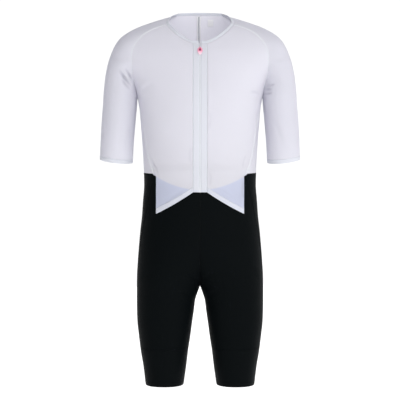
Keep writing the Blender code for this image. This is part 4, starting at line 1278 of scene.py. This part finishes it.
# The front: faint drag lines from the underarms, ripples beside the zip and at the side seams.
FRONT_CREASES = (
    (-1, 1.0, 5.0, (152, -190), (138, -176), (120, -168)),
    (1, 0.8, 4.5, (154, -196), (142, -190), (128, -190)),
    (-1, 1.1, 3.4, (120, -372), (112, -386), (106, -400)),
    (-1, 0.8, 2.6, (126, -360), (120, -370), (116, -384)),
    (1, 0.9, 3.2, (106, -400), (109, -430), (108, -470)),
    (1, 0.8, 3.0, (118, -352), (112, -366), (110, -384)),
    (-1, 0.5, 3.5, (20, -330), (26, -352), (22, -380)),
    (1, 0.5, 3.5, (21, -240), (27, -262), (22, -290)),
    (1, 0.6, 3.0, (22, -392), (28, -410), (24, -430)),
    (-1, 0.5, 12.0, (60, -270), (84, -262), (108, -268)),
    (1, 0.6, 12.0, (54, -352), (78, -344), (104, -350)),
    (-1, 0.7, 6.0, (36, -440), (62, -452), (92, -470)),
    (1, 0.6, 6.0, (40, -432), (66, -446), (94, -462)),
)


def all_creases():
    """The creases the photograph shows, and like ones where it doesn't reach."""
    found = [
        crease([sleeve_front_at(x, z) for x, z in places], depth, width)
        for depth, width, *places in SLEEVE_FOLDS
    ]
    for side in (-1, 1):
        for where, depth, width, *places in PAIRED_CREASES:
            found.append(crease(where(side, *places), depth, width))
    for side, places in PAD_FRONTS:
        ahead = [leg_front_at(x, z) * (side, 1, 1) for x, z in places]
        for outline, depth, width in zip((ahead, on_leg(side, *PAD_BACK)), PAD_DEPTHS, PAD_WIDTHS):
            found.append(crease(outline, depth, width, PAD_LEAN))
    for side, depth, width, *places in FRONT_CREASES:
        found.append(crease(on_front(side, *places), depth, width))
    return found


def sleeve_front_at(x, z):
    """The place on the front half of a sleeve at an x and a height, found on a lattice."""
    side = 1 if x > 0 else -1
    near = np.argmin(np.hypot(SLEEVE_LATTICE[:, 0] - abs(x), SLEEVE_LATTICE[:, 2] - z))
    return SLEEVE_LATTICE[near] * (side, 1, 1)


def leg_front_at(x, z):
    middle = LEG.at("middle", z)
    half = np.where(x >= middle, BODY.at("side", z) - middle, middle - LEG.at("inner", z))
    return section(np.array(z, float), np.arcsin(np.clip((x - middle) / half, -1, 1)))


EDGE_BLUR, HANG_BLUR = 2.5, 8  # how softly the waist edge shows through the front, down and at its top
# Places on the front half of the left sleeve, by ring and then round it.
SLEEVE_LATTICE = np.concatenate(
    [sleeve_row(row, np.linspace(0.02, 0.5, 40)) for row in np.linspace(5, 15.5, 80)]
)


def show_through_share(points):
    """How much of the shorts lies right behind each point of the hanging front, from 0 to 1: the mask of
    the painted show-through shade.
    """
    x, z = np.abs(points[:, 0]), points[:, 2]
    behind = smooth((waist_edge(x) - z) / EDGE_BLUR + 0.5)
    return behind * smooth((LIFT_TOP - z) / HANG_BLUR)


# By kind of cloth: its finish, its slot, its thickness, and how far its face stands off the form.
PANEL, DOUBLED, INSIDE = (PANEL_THICK, 0.0), (HEM, HEM_RISE), (TAPE, -(PANEL_THICK + INSIDE_GAP))
KINDS = {
    "front": ("mesh", "white_mesh", *PANEL),
    "hem_band": ("trim", "white_trim", *DOUBLED),
    "zip_facing": ("trim", "white_trim", *DOUBLED),
    "back": ("mesh", "white_mesh", *PANEL),
    "sleeve": ("sleeve", "white_mesh", *PANEL),
    "cuff": ("trim", "white_trim", *DOUBLED),
    "shorts_front": ("black", "black_knit", *PANEL),
    "shorts_back": ("black", "black_knit", *PANEL),
    "leg_band": ("band", "black_band", *DOUBLED),
    "neck_binding": ("trim", "white_trim", *DOUBLED),
    "back_tape": ("tape", "tape", *INSIDE),
    "neck_label": ("label", "label_patch", *INSIDE),
}


def build():
    cloths = build_cloths()
    order = list(cloths.values())
    # The tape and the label lie inside, on points of their own.
    groups = (order[:-2], order[-2:-1], order[-1:])
    creases = all_creases()
    # Narrow creases also get painted shade in their troughs.
    narrow = [made for made in creases if made[2] < CREASE_SHADE_WIDEST]
    for group in groups:
        for cloth, normals in zip(group, shared_normals(group)):
            cloth.folds = np.clip(-creased(cloth.points, normals, narrow) / CREASE_SHADE_FULL, 0, 1)
            cloth.points = cloth.points + normals * creased(cloth.points, normals, creases)[:, None]
    for group in groups:
        for cloth, normals in zip(group, shared_normals(group)):
            cloth.normals = normals

    made = {}
    for name, cloth in cloths.items():
        kind = name.removesuffix("_left").removesuffix("_right")
        finish, slot, thick, out = KINDS[kind]
        points, faces, places = cloth.shell(cloth.normals, out, thick)
        # Painted shade: in the troughs of narrow creases, and on the front where the dark shorts show
        # through.
        shades = {"fold": np.tile(cloth.folds, 2)}
        if kind in ("front", "hem_band", "zip_facing"):
            shades["under"] = np.tile(show_through_share(cloth.points), 2)
        look = {"finish": FINISH[finish], "slot": slot, "shades": shades}
        piece = make_object("cloth_" + name, points, faces, places=places, **look)
        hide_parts(name)
        made[name] = piece
    return cloths, made


def path(cloth, rows, column):
    """A seam along one column of a cloth's grid, with its outward directions."""
    index = cloth.index[rows, column]
    return cloth.points[index], cloth.normals[index]


# Flat seams: half the width, the rise, whether they are black, and whether they have a zigzag.
SEAMS = {
    "white": (2.3, 0.5, False, True),
    "centre": (1.8, 0.4, False, True),
    "black": (2.3, 0.25, True, True),
    "waist": (2.0, 0.2, True, False),
    "band": (2.0, 0.225, True, False),
}
# Their stitches. Outer rows: place as a share of the half width, radius, and lift as a share of the
# rise. Zigzag: how much of its pitch a stitch fills, radius, slant, and lift over the rise.
ROW_ASIDE, ROW_RADIUS, ROW_LIFT = 0.72, 0.2, 0.55
CROSS_FILL, CROSS_RADIUS, CROSS_SLANT, CROSS_LIFT = 0.95, 0.16, 0.95, 0.02
WHITE_PITCHES, BLACK_PITCHES = (2.6, 1.8), (3.2, 2.4)
# How far rows of stitches run from the edges that they follow.
CUFF_ROWS_DOWN, HEM_ROWS_DOWN, FACING_ROWS_IN = (1.2, 3.6), (1.0, 3.4), (1.1, 3.4)
PEAK_ROW_IN, BINDING_ROW_UP, LEG_HEM_ROW_UP, LEG_HEM_PITCH = 1.6, 1.3, 9.0, 2.8
# Half the width and the rise of the dark grey strip down the inside of the back.
GREY_STRIP_HALF, GREY_STRIP_RISE = 1.5, 0.35
ALL = slice(None)
UPPER, SIDE_PART = slice(0, RAGLAN_ROWS + 1), slice(RAGLAN_ROWS, RAGLAN_ROWS + LOWER_ROWS + 1)
FORK = int(np.searchsorted(-SHORTS_SPREAD[:, 0], -FORK_Z))
# The seams of each half: name, panel that carries it, panel, rows, columns and kind.
HALF_SEAMS = (
    ("raglan_front", "sleeve", "front", UPPER, -1, "white"),
    ("raglan_back", "sleeve", "back", UPPER, -1, "white"),
    ("side", "back", "front", SIDE_PART, -1, "white"),
    ("underarm", "sleeve", "sleeve", slice(RAGLAN_ROWS, None), 0, "white"),
    ("inseam", "shorts_front", "shorts_front", slice(FORK, None), 0, "black"),
    ("thigh", "shorts_front", "shorts_front", ALL, -1, "black"),
    ("waist", "back", "back", -1, ALL, "waist"),
    ("band", "leg_band", "leg_band", 0, ALL, "band"),
)
MIDDLE_SEAMS = (
    ("centre_back", "back_left", ALL, "centre"),
    ("fork_front", "shorts_front_left", slice(0, FORK), "black"),
    ("fork_back", "shorts_back_left", slice(0, FORK), "black"),
)


def add_seams(cloths):
    """Flat seams with their stitching, sorted by the panel that carries them."""
    groups = {}

    def sew(name, owner, rows, thread="thread", slot="white_trim"):
        sewn = add_stitches("stitch_" + name, rows, FINISH[thread], slot)
        groups.setdefault(owner, []).append(sewn)

    def flat_seam(name, owner, edge, kind):
        half, rise, black, zigzag = SEAMS[kind]
        finish, thread, slot = (
            ("black_seam", "black_thread", "black_knit") if black else ("seam", "thread", "white_trim")
        )
        pitch, cross_pitch = BLACK_PITCHES if black else WHITE_PITCHES
        strip = add_ribbon("seam_" + name, *edge, half, rise, FINISH[finish], slot)
        groups.setdefault(owner, []).append(strip)
        rows = [
            stitch_row(*edge, side * half * ROW_ASIDE, pitch, radius=ROW_RADIUS, lift=rise * ROW_LIFT)
            for side in (-1, 1)
        ]
        if zigzag:
            cross = cross_pitch, CROSS_FILL, CROSS_RADIUS
            for slant in (CROSS_SLANT, -CROSS_SLANT):
                rows.append(stitch_row(*edge, 0, *cross, slant, rise + CROSS_LIFT))
        sew(name, owner, rows, thread, slot)

    for side in ("_left", "_right"):
        for name, owner, panel, rows, columns, kind in HALF_SEAMS:
            flat_seam(name + side, owner + side, path(cloths[panel + side], rows, columns), kind)
        top = path(cloths["cuff" + side], 0, ALL)
        rows = [
            stitch_row(*top, -upward(top) * below, HEM_PITCH, lift=ON_HEM) for below in CUFF_ROWS_DOWN
        ]
        sew("cuff" + side, "sleeve" + side, rows)
        panels = (cloths[kind + side] for kind in ("hem_band", "zip_facing", "front"))
        sew("hem" + side, "front" + side, hem_stitches(*panels))
        hem = path(cloths["leg_band" + side], -1, ALL)
        rows = [stitch_row(*hem, upward(hem) * LEG_HEM_ROW_UP, LEG_HEM_PITCH, lift=ON_HEM)]
        sew("leg_hem" + side, "leg_band" + side, rows, "black_thread", "black_band")
    for name, panel, rows, kind in MIDDLE_SEAMS:
        flat_seam(name, panel, path(cloths[panel], rows, 0), kind)
    # A dark grey strip down the middle of the back tape, on its inner face.
    line, normals = path(cloths["back_tape"], ALL, TAPE_LINES // 2)
    inside = line - normals * (PANEL_THICK + INSIDE_GAP + TAPE), -normals
    size = GREY_STRIP_HALF, GREY_STRIP_RISE
    strip = add_ribbon("grey_strip_centre_back", *inside, *size, FINISH["grey_strip"], "white_trim")
    groups["back_left"].append(strip)
    neckline = path(cloths["neck_binding"], 0, ALL)
    sew("binding", "front_left", [stitch_row(*neckline, BINDING_ROW_UP, HEM_PITCH, lift=ON_HEM)])
    return groups


def upward(edge):
    """The sign that leads up from a line round the suit."""
    line, normals = edge
    return 1 if np.cross(normals, np.gradient(line, axis=0))[:, 2].sum() > 0 else -1


def hem_stitches(hem, facing, front):
    """Two rows along the slanted hem, two down the facing's outer edge, one beside the peak's edge."""
    top = path(hem, 0, ALL)
    edge = path(facing, ALL, -1)
    peak = path(front, slice(SIDE_PART.stop, None), FRONT_COLUMNS - SIDE_COLUMNS)
    side = -1 if hem.points[0, 0] < 0 else 1
    down = -1 if np.cross(top[1][0], top[0][1] - top[0][0])[2] > 0 else 1
    lines = [(top, down * aside) for aside in HEM_ROWS_DOWN]
    lines += [(edge, inward(edge, side) * aside) for aside in FACING_ROWS_IN]
    rows = [stitch_row(*line, aside, HEM_PITCH, lift=ON_HEM) for line, aside in lines]
    return rows + [stitch_row(*peak, inward(peak, side) * PEAK_ROW_IN, HEM_PITCH)]


def inward(edge, side):
    """The sign that leads from a line down the front towards the middle plane."""
    line, normals = edge
    aside = np.cross(normals[0], line[-1] - line[0])[0]
    return -1 if aside * side > 0 else 1


def coil_teeth(line, normals, aside, reach, shift=0.0):
    """Coil loops across a line: each a bar from aside outwards, at every pitch. shift is in pitches."""
    line, normals = evened(line, normals, COIL_PITCH)
    along, side, up = frames(line, normals)
    step = np.linalg.norm(line[1] - line[0])
    middle = line + side * aside + along * (step * shift) - up * COIL_SUNK
    return repeated(STITCH_POINTS * (reach, LOOP_RADIUS, LOOP_RADIUS), middle, side, along, up)


def add_zip(cloths):
    """The coil: closed below the slider, and one open row down each side above it."""
    left, right = (path(cloths["zip_facing_" + side], ALL, 0) for side in ("left", "right"))
    middle, out = (left[0] + right[0]) / 2, unit(left[1] + right[1])
    heights = middle[:, 2]
    low = SLIDER_Z - SLIDER_LENGTH / 2 - SLIDER_CLEAR
    end = STOP_Z + STOP_LENGTH / 2 + SEAM_GAP
    z = np.concatenate([[low], heights[(heights < low) & (heights > end)], [end]])
    line, normals = columns_at(-z, -heights, middle), unit(columns_at(-z, -heights, out))

    def core(line, ways, half, rise, sunk):
        points, faces, _ = ribbon(line, ways, half, rise, sunk)
        return points - np.tile(normals[:1], (len(points), 1)) * CORE_SUNK, faces

    rows = [
        coil_teeth(line, normals, LOOP_ASIDE, LOOP_REACH),
        coil_teeth(line[:-1], normals[:-1], -LOOP_ASIDE, LOOP_REACH, 0.5),
    ]
    tail = (heights <= low) & (heights > TAPE_END_Z)
    rows.append(core(middle[tail], out[tail], *TAIL))
    chain = add_stitches("zip_closed_coil", rows, FINISH["coil"], "zip_coil")
    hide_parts("zip_chain")
    for side, (edge, ways), sign in (("left", left, 1), ("right", right, -1)):
        above = edge[:, 2] > SLIDER_Z + SLIDER_LENGTH / 2
        line, normals = edge[above] - np.array([sign * (SEAM_GAP + ROW_WIDTH / 2), 0, 0]), ways[above]
        rows = [coil_teeth(line, normals, 0.0, ROW_WIDTH), core(line, normals, *ROW_CORE)]
        row = add_stitches("zip_open_coil_" + side, rows, FINISH["coil"], "zip_coil")
        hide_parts("zip_row_" + side)


def pull_matrix():
    """The pull's own axes at its hinge: X across, -Y out, -Z down along the front, in millimetres."""
    joint = frame["record"]["behaviour"]["joints"][0]
    here, below = front_at(0, SLIDER_Z), front_at(0, SLIDER_Z - 1)
    down = Vector(below - here).normalized()
    across = Vector((1, 0, 0))
    out = across.cross(down)
    if out.y > 0:
        out = -out
    turn = Matrix((across, -out, -down)).transposed().to_4x4()
    return Matrix.Translation(Vector(joint["pos_m"]) / MM) @ turn


def add_pull():
    """The pull: a cross bar, two arms and a soft tapered grip, cut from one outline."""
    inner = BRIDGE_HALF + ARM_GAP
    outer = inner + ARM_WIDTH
    bar = BAR_THICK / 2
    shoulder = -ARM_LENGTH - GRIP_SHOULDER
    end = -ARM_LENGTH - GRIP_LENGTH
    # Half of the outline, from the top down. The small numbers round off its corners.
    half = [
        (outer, bar),
        (outer, -ARM_LENGTH + 0.4),
        (outer + 0.9, -ARM_LENGTH - 0.5),
        (GRIP_TOP_HALF - 0.2, shoulder),
        (GRIP_TOP_HALF, shoulder - 1.1),
        (GRIP_TOP_HALF - 0.2, shoulder - 2.4),
        (GRIP_END_HALF + 0.7, end + 2.4),
        (GRIP_END_HALF, end + 1.1),
        (GRIP_END_HALF - 1.0, end + 0.15),
        (0.6, end),
    ]
    shape = half + [(-x, z) for x, z in reversed(half)]
    hole = [(-inner, -bar), (inner, -bar), (inner, -ARM_LENGTH), (-inner, -ARM_LENGTH)]
    mesh = bmesh.new()
    loops = [[mesh.verts.new((x, -bar, z)) for x, z in outline] for outline in (shape, hole)]
    edges = [mesh.edges.new((loop[k - 1], loop[k])) for loop in loops for k in range(len(loop))]
    bmesh.ops.triangle_fill(mesh, use_beauty=True, edges=edges)
    lifted = bmesh.ops.extrude_face_region(mesh, geom=mesh.faces[:])
    moved = [v for v in lifted["geom"] if isinstance(v, bmesh.types.BMVert)]
    bmesh.ops.translate(mesh, verts=moved, vec=(0, 2 * bar, 0))
    bmesh.ops.recalc_face_normals(mesh, faces=mesh.faces)
    sharp = [e for e in mesh.edges if len(e.link_faces) == 2 and e.calc_face_angle() > PULL_SHARP]
    bmesh.ops.bevel(mesh, geom=sharp, offset=PULL_BEVEL, segments=3, profile=0.5, affect="EDGES")
    mesh.transform(Matrix.Scale(MM, 4) @ pull_matrix())
    data = bpy.data.meshes.new("pull")
    mesh.to_mesh(data)
    mesh.free()
    data.materials.append(FINISH["pull"])
    data.shade_smooth()
    data.set_sharp_from_angle(angle=math.radians(CRISP_ANGLE))
    pull = bpy.data.objects.new("pull", data)
    bpy.context.scene.collection.objects.link(pull)
    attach(pull, "pull_tab")
    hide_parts("pull_tab")


def declare_sheets(cloths):
    """Works out the cut of each panel, its width and length laid flat and its area, and keeps none of it.
    """
    hangs = {
        "front": "sleeve",
        "back": "sleeve",
        "sleeve": "back",
        "shorts_front": "back",
        "shorts_back": "back",
        "leg_band": "shorts_back",
    }
    for name, cloth in cloths.items():
        kind, _, side = name.rpartition("_")
        if kind not in hangs or side not in ("left", "right"):
            continue
        width, length = cloth.reach
        area = min(cloth.area(), width * length)


def add_studio():
    """Plain pale floor, soft graded light, and the camera level with the suit's middle."""
    scene = bpy.context.scene
    scene.view_settings.view_transform = "Standard"
    link = scene.collection.objects.link
    floor_mesh = bpy.data.meshes.new("floor")
    corners = [(x * FLOOR_SIZE, y * FLOOR_SIZE, FLOOR_Z) for x, y in ((-1, -1), (1, -1), (1, 1), (-1, 1))]
    floor_mesh.from_pydata(corners, [], [(0, 1, 2, 3)])
    floor_mesh.materials.append(floor_material())
    floor = bpy.data.objects.new("floor", floor_mesh)
    link(floor)

    n = Nodes(bpy.data.worlds.new("studio"), "OutputWorld")
    way = n.add("SeparateXYZ", {0: n.add("TexCoord").outputs["Generated"]}).outputs
    light = WORLD_LIGHT
    for axis, power, amount in (("X", 1, SIDE_LIGHT), ("X", 2, SIDES_LIGHT), ("Z", 2, TOP_LIGHT)):
        raised = way[axis] if power == 1 else n.math("MULTIPLY", way[axis], way[axis])
        light = n.math("MULTIPLY_ADD", raised, amount, light)
    # What is seen past the suit is one plain pale tone. The graded light only falls on it.
    sky, wall = (
        n.add("Background", {"Color": (1, 1, 1, 1), "Strength": level}).outputs[0]
        for level in (light, WORLD_LIGHT)
    )
    seen = n.add("LightPath").outputs["Is Camera Ray"]
    scene.world = n.close(n.add("MixShader", {0: seen, 1: sky, 2: wall}).outputs[0])

    for name, place, target, size, power in LIGHTS:
        light = bpy.data.lights.new(name, "AREA")
        light.shape, light.size, light.energy = "SQUARE", size, power
        lamp = bpy.data.objects.new(name, light)
        lamp.location = place
        lamp.rotation_euler = (Vector(target) - Vector(place)).to_track_quat("-Z", "Y").to_euler()
        link(lamp)

    lens = bpy.data.cameras.new("camera")
    lens.sensor_width, lens.lens = 36.0, CAMERA_LENS
    camera = bpy.data.objects.new("camera", lens)
    camera.location = CAMERA_PLACE
    camera.rotation_euler = (math.pi / 2, 0, 0)
    link(camera)
    scene.camera = camera


def give_material(node, finish):
    """A solid that is shown as it is gets the scene's finish."""
    for slot in frame["nodes"][node].material_slots:
        slot.material = FINISH[finish]


add_studio()
cloths, made = build()
groups = add_seams(cloths)
add_zip(cloths)
add_pull()
declare_sheets(cloths)
give_material("zip_slider", "slider")
give_material("zip_stop", "coil")
